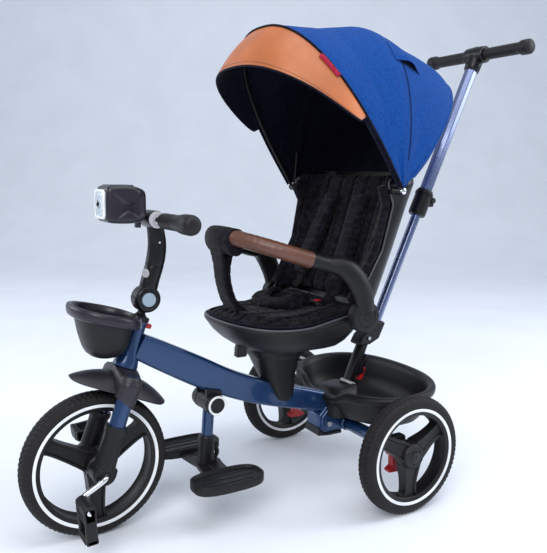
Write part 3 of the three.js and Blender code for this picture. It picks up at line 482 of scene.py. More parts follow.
def woven(name, dark, middle, light, threads=520.0, roughness=0.85, sheen=0.35, strength=0.5, slub=1.0):
    """Heathered cloth: threads crossing in two directions, each its own tone, with longer slubs."""
    material, base = shader(name, roughness, sheen=sheen, specular=0.12)
    base.inputs["Sheen Roughness"].default_value = 0.4
    links = material.node_tree.links
    warp = texture(material, "Noise", threads, stretch=(0.16, 0.8, 1.0), detail=2.0)
    weft = texture(material, "Noise", threads, stretch=(1.0, 0.8, 0.16), detail=2.0)
    slubs = texture(material, "Noise", threads * 0.22, stretch=(0.35, 1.0, 1.0), detail=3.0)
    crossed = math_node(material, "ADD", warp.outputs["Fac"], weft.outputs["Fac"])
    heather = math_node(material, "ADD", crossed, math_node(material, "MULTIPLY", slubs.outputs["Fac"], slub))
    scaled = math_node(material, "DIVIDE", heather, 2.0 + slub)
    tone = ramp(material, scaled, [(0.38, dark), (0.5, middle), (0.63, light)])
    links.new(tone.outputs["Color"], base.inputs["Base Color"])
    wave = texture(material, "Wave", threads * 0.55, detail=1.0, bands_direction="Z")
    wave.inputs["Distortion"].default_value = 1.2
    cross = texture(material, "Wave", threads * 0.55, detail=1.0, bands_direction="X")
    cross.inputs["Distortion"].default_value = 1.2
    height = math_node(material, "MULTIPLY", wave.outputs["Fac"], cross.outputs["Fac"])
    height = math_node(material, "ADD", height, warp.outputs["Fac"])
    add_bump(material, base, height, 0.0006, strength)
    return material


def hide(name, color, roughness=0.4, coat=0.25, pores=900.0):
    """Smooth leather: shallow pebbled grain, uneven dye and a soft gloss."""
    material, base = shader(name, roughness, coat=coat, coat_roughness=0.3, specular=0.5)
    links = material.node_tree.links
    dye = texture(material, "Noise", 14.0, detail=7.0)
    tone = ramp(material, dye.outputs["Fac"], [(0.3, shade(color, 0.82)), (0.5, color),
                                               (0.72, shade(color, 1.2))])
    links.new(tone.outputs["Color"], base.inputs["Base Color"])
    vary_roughness(material, base, roughness - 0.08, roughness + 0.12, 40.0)
    grain = texture(material, "Voronoi", pores, feature="DISTANCE_TO_EDGE")
    wrinkles = texture(material, "Noise", 120.0, detail=5.0)
    height = math_node(material, "ADD", math_node(material, "MULTIPLY", grain.outputs["Distance"], 2.0),
                       wrinkles.outputs["Fac"])
    add_bump(material, base, height, 0.0005, 0.3)
    return material


def facets(name):
    """Clear plastic cut in small facets over a grey reflector, each facet's colour painted darker or lighter
    as its glint.
    """
    material, base = shader(name, 0.14, coat=0.8, coat_roughness=0.05)
    links = material.node_tree.links
    facet_glint_cells = texture(material, "Voronoi", 190.0)
    # painted glints and reflections: every facet gets its own grey, from dark to pale sky-blue
    tone = ramp(material, facet_glint_cells.outputs["Color"], [(0.1, (0.10, 0.12, 0.14)), (0.5, (0.30, 0.35, 0.38)),
                                                   (0.9, (0.62, 0.70, 0.76))])
    links.new(tone.outputs["Color"], base.inputs["Base Color"])
    add_bump(material, base, facet_glint_cells.outputs["Distance"], 0.002, 0.5)
    return material


BLUE_PAINT = painted("blue_paint", (0.006, 0.032, 0.102), 0.27, 0.45)
LILAC_PAINT = painted("lilac_paint", (0.125, 0.155, 0.270), 0.22, 0.75)
BLACK_PLASTIC = moulded("black_plastic", (0.0055, 0.0052, 0.0065), 0.44, specular=0.32)
SATIN_PLASTIC = moulded("satin_black_plastic", (0.006, 0.0055, 0.0075), 0.30, strength=0.12, specular=0.30)
PURPLE_PLASTIC = moulded("dark_purple_plastic", (0.017, 0.0135, 0.022), 0.34, strength=0.12, specular=0.42)
FENDER_PLASTIC = moulded("fender_plastic", (0.020, 0.0165, 0.024), 0.42, strength=0.3, specular=0.45)
TREAD_RUBBER = moulded("tread_rubber", (0.0085, 0.0072, 0.0080), 0.66, grain=700, strength=0.5, wear=4.5,
                       specular=0.32)
GRIP_RUBBER = moulded("grip_rubber", (0.0075, 0.0062, 0.0072), 0.5, grain=900, strength=0.35, specular=0.35)
WHITE_PLASTIC = moulded("white_plastic", (0.80, 0.81, 0.83), 0.35, wear=1.05)
GREY_PLASTIC = moulded("pale_grey_plastic", (0.42, 0.42, 0.44), 0.4, wear=1.2)
TRIM_GREY = moulded("trim_grey", (0.060, 0.062, 0.075), 0.36, wear=1.3)
RED_PLASTIC = moulded("red_plastic", (0.42, 0.010, 0.014), 0.35, strength=0.12, wear=1.3)
CHROME = bright_metal("chrome", (0.78, 0.79, 0.82), 0.08)
STEEL = bright_metal("zinc_steel", (0.48, 0.49, 0.52), 0.32)
LENS_PAINTED_GLINTS = facets("frosted_lens_painted_glints")
SILVER_BLUE = moulded("silver_blue_button", (0.30, 0.40, 0.48), 0.3, strength=0.1, coat=0.4, wear=1.3)
CANOPY_CLOTH = woven("blue_melange", (0.0008, 0.0350, 0.185), (0.0014, 0.0520, 0.260), (0.0040, 0.082, 0.370),
                     threads=1000, sheen=0.05)
LINING = woven("navy_lining", (0.0022, 0.0024, 0.007), (0.0045, 0.005, 0.014), (0.009, 0.010, 0.025),
               sheen=0.05)
QUILT_CLOTH = woven("quilted_cloth", (0.0020, 0.0017, 0.0030), (0.0050, 0.0040, 0.0072),
                    (0.020, 0.017, 0.029), threads=420, sheen=0.10, slub=1.4)
BINDING = woven("navy_binding", (0.002, 0.0026, 0.007), (0.0045, 0.0055, 0.014), (0.011, 0.013, 0.030),
                sheen=0.05)
WEBBING = woven("black_webbing", (0.0022, 0.0022, 0.003), (0.0048, 0.0046, 0.006), (0.011, 0.010, 0.013),
                threads=700, sheen=0.08)
TAN_LEATHER = hide("tan_leather", (0.470, 0.132, 0.034), 0.42, 0.12)
BROWN_LEATHER = hide("brown_leather", (0.115, 0.040, 0.021), 0.40, 0.25)
TAG_RED = woven("tag_red", (0.20, 0.004, 0.02), (0.36, 0.008, 0.04), (0.48, 0.02, 0.07), threads=1200)

SLOTS = {
    "blue_paint": [BLUE_PAINT], "pale_blue_paint": [LILAC_PAINT], "rubber": [TREAD_RUBBER, GRIP_RUBBER],
    "black_plastic": [BLACK_PLASTIC, SATIN_PLASTIC, PURPLE_PLASTIC], "red_plastic": [RED_PLASTIC],
    "grey_plastic": [FENDER_PLASTIC, WHITE_PLASTIC, GREY_PLASTIC, TRIM_GREY], "chrome": [CHROME],
    "steel": [STEEL], "lens": [LENS_PAINTED_GLINTS], "silver_button": [SILVER_BLUE], "blue_fabric": [CANOPY_CLOTH],
    "black_fabric": [LINING, QUILT_CLOTH, BINDING, WEBBING, TAG_RED],
    "tan_leather": [TAN_LEATHER], "brown_leather": [BROWN_LEATHER],
}
for slot_name, members in SLOTS.items():
    for member in members:
        member["slot"] = slot_name


# ---------- wheels ----------
def tyre(wheel, grooves):
    """Rounded section with slanted grooves over its shoulders and two lines round its crown."""
    radius, half, bead = wheel["radius"], wheel["half"], wheel["bead"]
    crown = [(radius - 6.5 * abs(h) ** 3, h * (half - 3)) for h in np.linspace(-1, 1, 27)]
    wall = [(radius - 8, half - 2), (radius - 10, half - 1.3), (radius - 12, half - 0.8),
            (radius - 14, half - 0.4), (radius - 19, half), (bead + 3, half - 0.3), (bead + 0.8, half - 1.6),
            (bead, half - 4)]
    profile = [(r, -x) for r, x in reversed(wall)] + crown + wall
    tread_band, block_depth, line_depth = 15, 2.1, 1.6
    count = grooves * 4
    a = ring_angles(count)
    rings = []
    for r, x in profile:
        across = abs(x) / (half - 3)
        radii = np.full(count, float(r))
        if r > radius - tread_band:
            bend = 3.2 * across + 0.9 * np.sin(across * 9)
            slant = a * grooves + np.sign(x) * bend
            reach = np.clip((across - 0.14) * 8, 0, 1) * np.clip((r - radius + tread_band) / 6, 0, 1)
            radii -= block_depth * np.clip(np.sin(slant) * 1.6 - 0.2, 0, 1) * reach
            if abs(abs(x) - 0.22 * half) < 0.06 * half:
                radii -= line_depth
        rings.append(np.stack([np.full(count, x), radii * np.cos(a), radii * np.sin(a)], 1))
    return loft(rings, closed=True)


def white_ring(wheel, side):
    bead, half = wheel["bead"], wheel["half"]
    profile = [(bead - 1.2, half - 2.5), (bead - 0.6, half - 0.2), (bead + 2.5, half + 0.6),
               (bead + 5.4, half + 0.1), (bead + 6.2, half - 1.6)]
    return lathe([(r, side * x) for r, x in profile], 128, closed=True)


def spoke(wheel, angle):
    """A broad channel-section spoke that widens into the hub and the rim."""
    reach = wheel["bead"] - 7
    stations = [(wheel["hub"] - 7, 21, 15), (wheel["hub"] + 6, 18.5, 14), (reach * 0.6, 15.5, 11.5),
                (reach - 12, 15, 10.5), (reach - 2, 19, 12), (reach + 1, 23, 13)]
    rings = []
    for r, w, t in spline(stations, 16):
        lip, floor = 4.0, t - 3.4
        half_section = [(-w, t), (-w + lip, t), (-w + lip + 2.2, floor), (w - lip - 2.2, floor), (w - lip, t),
                        (w, t)]
        section = half_section + [(u, -v) for u, v in reversed(half_section)]
        rings.append([(v, r * math.cos(angle) - u * math.sin(angle),
                       r * math.sin(angle) + u * math.cos(angle))
                      for u, v in section])
    return loft(rings)


def rim(wheel):
    bead, half = wheel["bead"], wheel["half"] - 2
    barrel = [(bead - 9.5, -half + 2), (bead - 7.5, -half), (bead - 1, -half - 0.8), (bead - 0.4, -half),
              (bead - 0.4, half), (bead - 1, half + 0.8), (bead - 7.5, half), (bead - 9.5, half - 2),
              (bead - 5.5, half - 9), (bead - 5.5, 9 - half)]
    hub, reach = wheel["hub"], wheel["hub_half"]
    hub_profile = [(7, -reach), (hub - 3, -reach), (hub, -reach + 3), (hub + 1.5, -10), (hub + 1.5, 10),
                   (hub, reach - 3), (hub - 3, reach), (7, reach)]
    return [lathe(barrel, 128, closed=True), lathe(hub_profile, 64)] + [
        spoke(wheel, math.radians(a)) for a in (-90, 30, 150)]


def build_wheel(name, wheel, centre, body, tyre_node, rim_node, grooves):
    place = lambda shapes: [shifted(s, centre) for s in shapes]
    piece(f"{name}_tyre_tread", place([tyre(wheel, grooves)]), TREAD_RUBBER, body, tyre_node, sharp=50)
    piece(f"{name}_wheel_rim", place(rim(wheel)), BLACK_PLASTIC, body, rim_node)
    rings = [white_ring(wheel, side) for side in (1, -1)]
    piece(f"{name}_white_rings", place(rings), WHITE_PLASTIC, body)


def build_wheels():
    build_wheel("front", FRONT, (0, FRONT["y"], FRONT["radius"]), "front_wheel", "front_tyre", "front_rim",
                84)
    cap = [(0, 21), (7, 21), (8, 20), (13, 19.6), (14.5, 18.4), (20, 18), (24.5, 16.6), (26.6, 13.5),
           (26.8, 8)]
    for side, word in SIDES:
        centre = (side * REAR["track"], REAR["y"], REAR["radius"])
        body = f"rear_wheel_{word}"
        build_wheel(f"rear_{word}", REAR, centre, body, f"rear_tyre_{word}", f"rear_rim_{word}", 74)
        dome = lathe([(r, side * x) for r, x in reversed(cap)], 64)
        bolts = [lathe([(2.4, side * 17.5), (2.4, side * 20.2), (0.01, side * 20.6)], 16)]
        spots = [shifted(bolts[0], (0, 17 * math.cos(a), 17 * math.sin(a))) for a in (0.5, 2.6, 4.7)]
        piece(f"rear_hub_cap_{word}", [shifted(s, centre) for s in [dome, *spots]], SATIN_PLASTIC, body)


build_wheels()


# ---------- frame ----------
def main_tube():
    line = spline(MAIN_TUBE, 56)
    rings = []
    for (y, z, height), (dy, dz) in zip(line, np.gradient(line[:, :2], axis=0)):
        up = np.array([0, -dz, dy]) / math.hypot(dy, dz)
        rings.append([np.array([x, y, z]) + h * up for x, h in rounded_section(20, height / 2, 7.5, 5)])
    return loft(rings)


def head_tube():
    profile = [(12, 196.5), (24.2, 196.5), (25, 197.5), (24.8, 202), (23.6, 208), (21.4, 218), (19.4, 230),
               (17.8, 245), (17.1, 262), (17, 285), (18.2, 285.8), (18.2, 289), (12, 289)]
    return placed(lathe_up(profile, 96), steer)


def pedestal():
    levels = spline([(25, 10, -3, 206.5), (26, 20, -4, 210), (27.5, 26, -6, 219), (30, 32, -10, 238),
                     (36, 42, -18, 272), (46, 54, -22, 306), (52, 60, -22, 318), (58, 66, -22, 336)], 44)
    rings = []
    for half_x, half_y, y, z in levels:
        step = 1.6 * (smooth((z - 311) / 2) - smooth((z - 325) / 2))
        rings.append(oval(half_x + step, half_y + step, y, z, 3, 96))
    ribs = [rounded_box(side * 27 - 2, side * 27 + 2, -14, 4, 214, 262, 1.5) for side in (1, -1)]
    return [loft(rings), *ribs]


def rear_basket():
    y = 228

    def ring(half_x, half_y, z, tilt=0.065, dip=0.0):
        points = oval(half_x, half_y, y, z, 2.3, 160, tilt)
        points[:, 2] -= dip * smooth((92 - np.abs(points[:, 0])) / 44) * (points[:, 1] < y)
        return points

    rings = [
        ring(146, 86, 151, 0), ring(157, 95, 153, 0), ring(164, 102, 160, 0), ring(174, 110, 184, 0.035, 5),
        ring(182, 116, 204, 0.06, 12), ring(185, 119, 211, dip=15), ring(198, 128.5, 215, dip=17),
        ring(199.6, 129.6, 219, dip=17), ring(200, 130, 226, dip=17), ring(198, 128.5, 230, dip=17),
        ring(194, 124.5, 232, dip=17), ring(187, 118, 231.5, dip=17), ring(182, 113, 228, dip=17),
        ring(178, 109, 217, dip=15), ring(170, 104, 190, 0.03, 5), ring(160, 98, 165, 0),
        ring(142, 82, 155, 0),
    ]
    saddle = [oval(58, 44, 150, 152, 3, 96), oval(57, 44, 150, 176, 3, 96), oval(52, 43, 152, 198, 3, 96),
              oval(42, 40, 157, 212, 2.6, 96), oval(30, 32, 160, 217, 2.4, 96),
              oval(20, 22, 160, 217.6, 2.2, 96)]
    return [loft(rings), loft(saddle)]


LEVER_PIVOT = (-85, 6)  # along the push bar's line and behind it


def rear_post():
    a = ring_angles(96)
    rings = []
    for along in np.linspace(-148, 10, 40):
        flutes = 1.5 * (0.5 + 0.5 * np.cos(a * 6)) ** 3 * smooth((along + 118) / 6) * smooth((2 - along) / 6)
        radius = 14 - flutes
        side = np.array([0, math.cos(BAR_LEAN), -math.sin(BAR_LEAN)])
        rings.append(along_bar(along, -16) + np.outer(radius * np.cos(a), (1, 0, 0))
                     + np.outer(radius * np.sin(a), side))
    top = tube([along_bar(-12, -16), along_bar(11, -16)], 15.2, 48)
    at = along_bar(*LEVER_PIVOT)
    ears = [side_cut([(at[1] - 20, at[2] - 14), (at[1] + 6, at[2] - 7), (at[1] + 6, at[2] + 7),
                      (at[1] - 14, at[2] + 9)], *span(side, 6.3, 10.5)) for side in (1, -1)]
    return [loft(rings), top, *ears]


def build_frame():
    piece("main_tube_skin", [main_tube()], BLUE_PAINT, "frame", "main_tube")
    piece("head_tube_skin", [head_tube()], BLUE_PAINT, "frame", "head_tube")
    bearing = lathe_up([(13, 289.1), (17.4, 289.1), (17.4, 289.4), (13, 289.4)], 64)
    piece("head_bearing_seal", [placed(bearing, steer)], GREY_PLASTIC, "frame")
    piece("seat_pedestal_skin", pedestal(), BLACK_PLASTIC, "frame", "seat_pedestal", sharp=50)
    outline = [(86, 154), (86, 122), (102, 111), (177, 111), (186, 122), (192, 170), (186, 198), (130, 198)]
    cheeks = side_cut([(92, 150), (92, 126), (106, 116), (172, 116), (180, 126), (184, 168), (160, 190),
                       (130, 190)], -27.5, 27.5)
    piece("rear_bracket_skin", [side_cut(outline, -25, 25), cheeks], BLUE_PAINT, "frame", "rear_bracket",
          bevel=3)
    heads = [shifted(hexagon(7, *span(side, 27, 33)), (0, y, z))
             for side in (1, -1) for y, z in ((112, 134), (164, 127), (170, 160))]
    piece("rear_bracket_bolts", heads, STEEL, "frame", bevel=0.8)
    guard = [side_cut([(84, 128), (84, 108), (116, 104), (150, 104), (150, 112), (100, 112)], -28, 28)]
    piece("rear_bracket_guard", guard, BLACK_PLASTIC, "frame", bevel=2)
    end = REAR["track"] - REAR["half"] - 9
    half = [(0, end), (16.6, end), (17, end - 1), (17, end - 8), (15.4, end - 10), (15, end - 14), (15, 34),
            (18, 31), (18, 26)]
    beam = lathe([(0, 26), *half[::-1]], 48)
    middle = barrel(15, 40, 48)
    beams = [shifted(s, (0, REAR["y"], REAR["radius"])) for s in (beam, mirrored(beam), middle)]
    piece("rear_axle_beam_skin", beams, BLUE_PAINT, "frame", "rear_axle_beam")
    axle = lathe([(0, -262), (5, -262), (6, -261), (6, 261), (5, 262), (0, 262)], 32)
    piece("rear_axle_rod", [shifted(axle, (0, REAR["y"], REAR["radius"]))], STEEL, "frame", "rear_axle")
    piece("rear_basket_skin", rear_basket(), BLACK_PLASTIC, "frame", "rear_basket", sharp=60)
    piece("rear_post_skin", rear_post(), SATIN_PLASTIC, "frame", "rear_post")
    start, finish = along_bar(-116, -16), along_bar(-110, -16)
    piece("rear_post_washer", [rod(start, finish, 19.5, 18, 64)], GREY_PLASTIC, "frame")
    at = along_bar(*LEVER_PIVOT)
    blade = [(-6, -22), (0, -24), (5, -20), (11, -4), (15, 8), (19, 22), (21, 34), (17, 37), (12, 34),
             (6, 18), (-1, 8), (-5, -6)]
    lever = [side_cut(blade, -6, 6), barrel(3, 10, 24)]
    piece("post_lever_skin", [shifted(s, at) for s in lever], SATIN_PLASTIC, "post_lever",
          "post_release_lever", bevel=1.6)
    thumb = side_cut([(-7, -24), (0, -26), (7, -21), (12.5, -5), (15, 4), (8, 6), (0, 0), (-5, -8)], -7, 7)
    piece("post_lever_thumb", [shifted(thumb, at)], RED_PLASTIC, "post_lever", bevel=1.6)
    piece("push_bar_lower_skin", [rod(along_bar(8), along_bar(470), 11.5, count=48)], LILAC_PAINT, "frame",
          "push_bar_lower_tube")
    y, z = PUSH["y"], PUSH["z"]
    carrier = [(y - 46, z - 10), (y - 42, z - 14), (y - 14, z - 14), (y + 14, z - 2), (y + 32, z + 34),
               (y + 24, z + 40), (y - 2, z + 36), (y - 36, z + 8)]
    sleeve = rod(along_bar(8), along_bar(44), 17.5, 15.5, 48)
    piece("push_bar_bracket_skin", [side_cut(carrier, -19, 19), sleeve], SATIN_PLASTIC, "frame",
          "push_bar_bracket", bevel=4)
    heads = [shifted(hexagon(5, *span(side, 19, 22.5)), (0, y - 18, z + 2)) for side in (1, -1)]
    piece("push_bar_bolts", heads, STEEL, "frame", bevel=0.6)


# ---------- front basket ----------
FRONT_BASKET_Y = -406


def basket_ring(half_x, half_y, z, tilt=0.0):
    return oval(half_x, half_y, FRONT_BASKET_Y, z, 2.3, 128, tilt)


def build_front_basket():
    tilt = -0.25
    wall = [(14, 10, 357), (30, 22, 357.4), (38, 29, 360.5), (46, 36.5, 367), (52, 42, 378), (58, 46.5, 394),
            (62, 50, 408)]
    inner = [(58, 46, 408), (47, 37, 374), (32, 24, 362), (12, 9, 361)]
    lip = [(65, 55, 424, tilt), (61.5, 52, 424, tilt)]
    tub = loft([basket_ring(*level) for level in (*wall, *lip, *inner)])
    piece("front_basket_tub", [tub], BLACK_PLASTIC, "frame", "front_basket")
    band = [(66, 56, 423.5), (73, 64, 424), (76.5, 67, 426.5), (78, 68, 432), (78, 68, 439),
            (76.5, 66.5, 444), (73.5, 63.5, 446.6), (70, 60, 446.4), (67, 58, 443.5), (65, 55.5, 437),
            (63.5, 54, 428)]
    rim_band = loft([basket_ring(*b, tilt) for b in band], closed=True)
    piece("front_basket_rim", [rim_band], PURPLE_PLASTIC, "frame", sharp=50)
    latch = rounded_box(-6, 6, 15, 27, 279, 288.6, 2)
    grip_line = [rounded_box(-6.4, 6.4, 24 + k, 25 + k, 281, 287, 0.5) for k in (0, 2)]
    piece("steering_latch_skin", steered(latch, *grip_line), RED_PLASTIC, "latch", "steering_latch")


# ---------- fork and fender ----------
LEG_X = 50


def fender_sheet():
    def surface(offset):
        rows = []
        for s in np.sin(np.linspace(-0.5, 0.5, 65) * math.pi):
            angle = math.radians(s * (33 if s < 0 else 36))
            half = 44 * math.sqrt(max(0, 1 - abs(s) ** 2.3)) + 3 + offset * 0.4
            row = []
            for j in np.linspace(-1, 1, 33):
                drop = (3 + 30 * (1 - s * s) ** 0.7) * abs(j) ** 2.2
                radius = 184 - 5 * s + offset - drop
                row.append((half * j, radius * math.sin(angle), radius * math.cos(angle)))
            rows.append(row)
        return rows
    return plate(surface(0), surface(-3))


def shoulder(x):
    """The fender's socket over a fork leg; its lower rim slopes down towards the back."""
    rings = []
    a = ring_angles(64)
    for r, z, slope in ((17, 137, 0.4), (20.4, 136, 0.4), (21, 138, 0.4), (21.4, 150, 0.25), (21.6, 166, 0.1),
                        (21, 182, 0), (17, 188, 0)):
        y = r * np.sin(a)
        rings.append(np.stack([x + r * np.cos(a), y, z - slope * y], 1))
    return loft(rings)


def build_fork():
    legs = [rod((x, 0, 60), (x, 0, 178), 16, count=64) for x in (-LEG_X, LEG_X)]
    steerer = rod((0, 0, 180), (0, 0, 299), 12.5, count=48)
    crown = rounded_box(-60, 60, -17, 17, 166, 190, 9)
    piece("fork_skin", steered(*legs, steerer, crown), BLUE_PAINT, "steering", "fork")
    cover = loft([oval(71, 23, 0, 157, 3.2, 96), oval(72.5, 24.5, 0, 162, 3.2, 96),
                  oval(73, 25, 0, 172, 3.2, 96), oval(70, 25, 0, 180, 3, 96), oval(60, 25, 0, 187, 2.8, 96),
                  oval(46, 24.6, 0, 192.4, 2.5, 96), oval(32, 24, 0, 195.4, 2.2, 96),
                  oval(24, 22, 0, 195.8, 2.0, 96)])
    parts = [fender_sheet(), cover, shoulder(-LEG_X), shoulder(LEG_X)]
    piece("front_fender_skin", steered(*parts), FENDER_PLASTIC, "steering", "front_fender", sharp=45)
    for side, word in SIDES:
        x = side * LEG_X
        sleeve = lathe_up([(15.5, 90.5), (21, 90.5), (21.8, 89.5), (21.8, 80), (20.6, 78), (19.7, 76),
                           (19.6, 50), (20.2, 28), (21, 8), (15, 0)], 64)
        face = [(0, 33), (21.5, 33), (23, 34.5), (23, 56), (22.2, 63), (20.8, 68.6), (19.6, 70), (17.4, 70),
                (16.6, 69), (13.2, 69), (12.4, 70), (10, 70), (9.2, 68.6), (6.5, 68.6)]
        housing = lathe([(r, side * d) for r, d in face], 64)
        lug = rounded_box(*span(side, 38, 62), 12, 26, -11, 12, 6)
        parts = [shifted(sleeve, (x, 0, 0)), housing, lug]
        piece(f"fork_boot_{word}_skin", steered(*parts), BLACK_PLASTIC, "steering", f"fork_boot_{word}")
    base = lathe_up([(0, 289.6), (17.4, 289.6), (18.4, 290.4), (19, 292), (19, 297.6), (18, 299), (12, 301),
                     (8, 306), (7.2, 330)], 64)
    core = shifted(barrel(24.5, 7.5, 64), (0, 0, 335))
    piece("stem_base_skin", steered(base, core), BLACK_PLASTIC, "steering", "stem_base")


# ---------- stem, handlebar and lamp ----------
def at_drum(shape):
    return shifted(shape, (0, DRUM["y"], DRUM["z"]))


def at_bar(shape):
    return shifted(shape, (0, *BAR_CLAMP))


def stem_tube():
    top = (BAR_CLAMP[0] - DRUM["y"], BAR_CLAMP[1] - DRUM["z"])
    line = spline([(3, 4, 16), (5, 16, 17.6), (9, 34, 18.6), (20, 70, 18.8), (25, 105, 18), (21.5, 140, 16.4),
                   (*top, 14)], 90)
    rings = []
    for y, z, r in line:
        seam = 1.0 * math.exp(-((z - 67) / 1.1) ** 2)
        rings.append(oval(0.94 * (r - seam), r - seam, y, z, 2.2, 64))
    return loft(rings)


def drum_cheeks():
    half = [(0, 7.9), (25.2, 7.9), (26.4, 8.8), (26.5, 11), (25.6, 14.4), (23, 17.2), (19.6, 18.5),
            (15.2, 18.5), (14.6, 17.6), (14.6, 13), (0, 13)]
    cheek = lathe(half, 96)
    far = lathe(half[:6] + [(19.6, 18.5), (16, 19), (0, 19)], 96)
    a = np.radians(np.linspace(-22, 202, 60))
    corners = ((24.8, -8.5), (26.3, -8.5), (26.3, 8.5), (24.8, 8.5))
    over = [[(x, r * math.cos(b), r * math.sin(b)) for r, x in corners] for b in a]
    return [cheek, mirrored(far), loft(over)]


def badge():
    """A plain round inset on the stem's front left."""
    disc = lathe([(0, 0), (8.6, 0), (9, 0.8), (8.6, 1.8), (4.4, 2.0), (4.0, 1.2), (0, 1.2)], 48)
    return at_drum(shifted(placed(disc, lambda p: turned_z(p, math.radians(-62))), (9.2, -2.4, 52)))


def grip(side):
    stations = [(11, 60), (13.4, 60), (14.2, 61), (15, 66)]
    for k in range(9):
        x = 70 + 6.2 * k
        stations += [(15, x), (14.2, x + 1), (14.2, x + 2.2), (15, x + 3.2)]
    stations += [(15, 130), (15.7, 137), (17.2, 149), (18.3, 158), (18.6, 168), (18.5, 183), (17.6, 188),
                 (15.4, 192.5), (12, 195.4), (7, 196.8), (0, 197)]
    return lathe([(r, side * x) for r, x in stations], 64)


def lamp_body():
    stations = spline([(-99.4, 28, 27, 30), (-97, 32.5, 31.5, 30), (-92, 35, 34, 30), (-80, 36.5, 35.5, 30),
                       (-66, 37, 36, 30), (-54, 37, 35.6, 29.6), (-42, 36, 34, 29), (-32, 32.5, 31.5, 28.6),
                       (-22, 26, 27, 28), (-18.5, 18, 18, 27)], 46)
    rings = []
    for y, half_x, half_z, z in stations:
        section = resampled(rounded_section(half_x, half_z, 10, 5), 136, loop=True)
        from_waist = abs(y + 58)
        fan = smooth((5 + 0.8 * from_waist - np.abs(section[:, 1] + 6)) / 4)
        dent = 5.5 * max(0, 1 - from_waist / 34) * fan * (np.abs(section[:, 0]) > half_x - 4)
        x = section[:, 0] - np.sign(section[:, 0]) * dent
        rings.append(np.stack([x, np.full(len(x), y), z + section[:, 1]], 1))
    return loft(rings)


def build_stem():
    stem = [at_drum(s) for s in (stem_tube(), *drum_cheeks())]
    clamp = [(0, -26), (15.5, -26), (17.3, -24.4), (17.5, -22), (17.5, 22), (17.3, 24.4), (15.5, 26), (0, 26)]
    stem.append(at_bar(lathe(clamp, 64)))
    piece("handlebar_stem_skin", stem, SATIN_PLASTIC, "stem", "handlebar_stem", sharp=45)
    collars = [at_bar(lathe([(10.6, side * 25.5), (16, side * 25.5), (16.4, side * 26.4), (16.2, side * 29.6),
                             (14.6, side * 30.2), (10.6, side * 30.2)], 64, closed=True)) for side in (1, -1)]
    piece("handlebar_collars", collars, GREY_PLASTIC, "stem")
    piece("stem_badge", [badge()], GREY_PLASTIC, "stem")
    screw = at_drum(shifted(lathe([(0, 14), (2.2, 14), (2.2, 17.0), (1.4, 17.5), (0, 17.2)], 24),
                            (0, 24.5, 111)))
    piece("stem_screw", [screw], STEEL, "stem")
    knob = [(0, 13.2), (13.6, 13.2), (14, 14), (14, 19.4), (13.2, 20.8), (11.4, 21.5), (0, 21.7)]
    piece("stem_button_skin", [at_drum(lathe(knob, 64))], SILVER_BLUE, "stem_button", "stem_lock_button")
    bar = [at_bar(barrel(10.5, 186, 64))]
    piece("handlebar_skin", bar, CHROME, "stem", "handlebar")
    for side, word in SIDES:
        piece(f"grip_{word}_skin", [at_bar(grip(side))], GRIP_RUBBER, "stem", f"grip_{word}", sharp=30)
    tab = rounded_box(-6, 6, -34, -24, -16, 6, 1.5)
    brow = rounded_box(-24, 24, -90, -44, 62, 66.2, 2)
    piece("lamp_housing_skin", [at_bar(s) for s in (lamp_body(), tab, brow)], PURPLE_PLASTIC, "stem",
          "lamp_housing")
    vent_shade_plates, slats = [], []
    for side in (1, -1):
        # black plates in the vent recess behind the slats: painted shade where the recess falls dark
        vent_shade_plates.append(at_bar(rounded_box(*span(side, 28, 34.6), -70, -46, 17, 31, 4)))
        for k in range(5):
            y = -67 + 4.4 * k
            slats.append(at_bar(rounded_box(*span(side, 31, 35.6), y, y + 1.7, 19, 29, 0.6)))
    piece("lamp_vent_painted_shade", vent_shade_plates, BLACK_PLASTIC, "stem")
    piece("lamp_vents", slats, PURPLE_PLASTIC, "stem")
    frame_ring = [[(x, y, 30 + h) for x, h in rounded_section(half, half, 8, 6)]
                  for half, y in ((24.5, -98), (26.5, -99.5), (27.5, -102), (26.5, -104.6), (24.2, -105),
                                  (22.5, -103.6), (21.8, -99))]
    piece("lamp_bezel", [at_bar(loft(frame_ring, closed=True))], WHITE_PLASTIC, "stem")
    glass = [[(x, y, 30 + h) for x, h in rounded_section(half, half, 7, 6)]
             for half, y in ((24, -99.4), (23.6, -102.6), (21.5, -104.4), (17, -105.6), (9, -106), (3, -106))]
    piece("lamp_lens_skin", [at_bar(loft(glass))], LENS_PAINTED_GLINTS, "stem", "lamp_lens")


# ---------- crank and pedals ----------
def spindle_at(side):
    reach = -side * CRANK["length"]
    return reach * math.sin(CRANK["lean"]), reach * math.cos(CRANK["lean"])


def on_hub(shape):
    return shifted(shape, (0, FRONT["y"], FRONT["radius"]))


def crank():
    parts = [rod((-60, 0, 0), (60, 0, 0), 6)]
    for side in (1, -1):
        y, z = spindle_at(side)
        path = [(side * 55, 0, 0), (side * 70, 0, 0), (side * 77, y * 0.05, z * 0.05),
                (side * 80, y * 0.16, z * 0.16), (side * 81, y * 0.5, z * 0.5),
                (side * 80.5, y * 0.85, z * 0.85), (side * 84, y * 0.97, z * 0.97), (side * 92, y, z),
                (side * 144, y, z)]
        parts.append(tube(spline(path, 60), 5.2, 32))
    return parts


def pedal_shapes(side):
    x0, x1 = (88, 144) if side > 0 else (-144, -88)
    knuckle = lathe([(0, x0), (10, x0), (11, x0 + 1), (11, x1 - 1), (10, x1), (0, x1)], 48)
    rails = [rounded_box(a, a + 9, -10.4, 10.4, -62, 8, 3) for a in (x0, x1 - 9)]
    bars = [rounded_box(x0, x1, -11, 11, -62, -51, 3), rounded_box(x0, x1, -11, 11, -20, 8, 3)]
    teeth = []
    for k in range(7):
        x = x0 + 6 + 6.6 * k
        for z0, z1 in ((-60, -53), (-18, -5)):
            teeth.append(rounded_box(x, x + 2.6, -12, 12, z0, z1, 1))
    strips = [rounded_box(x0 + 12, x1 - 12, -11.5, 11.5, z - 2, z + 2, 0.8) for z in (-61, -2)]
    return [knuckle, *rails, *bars, *teeth], strips


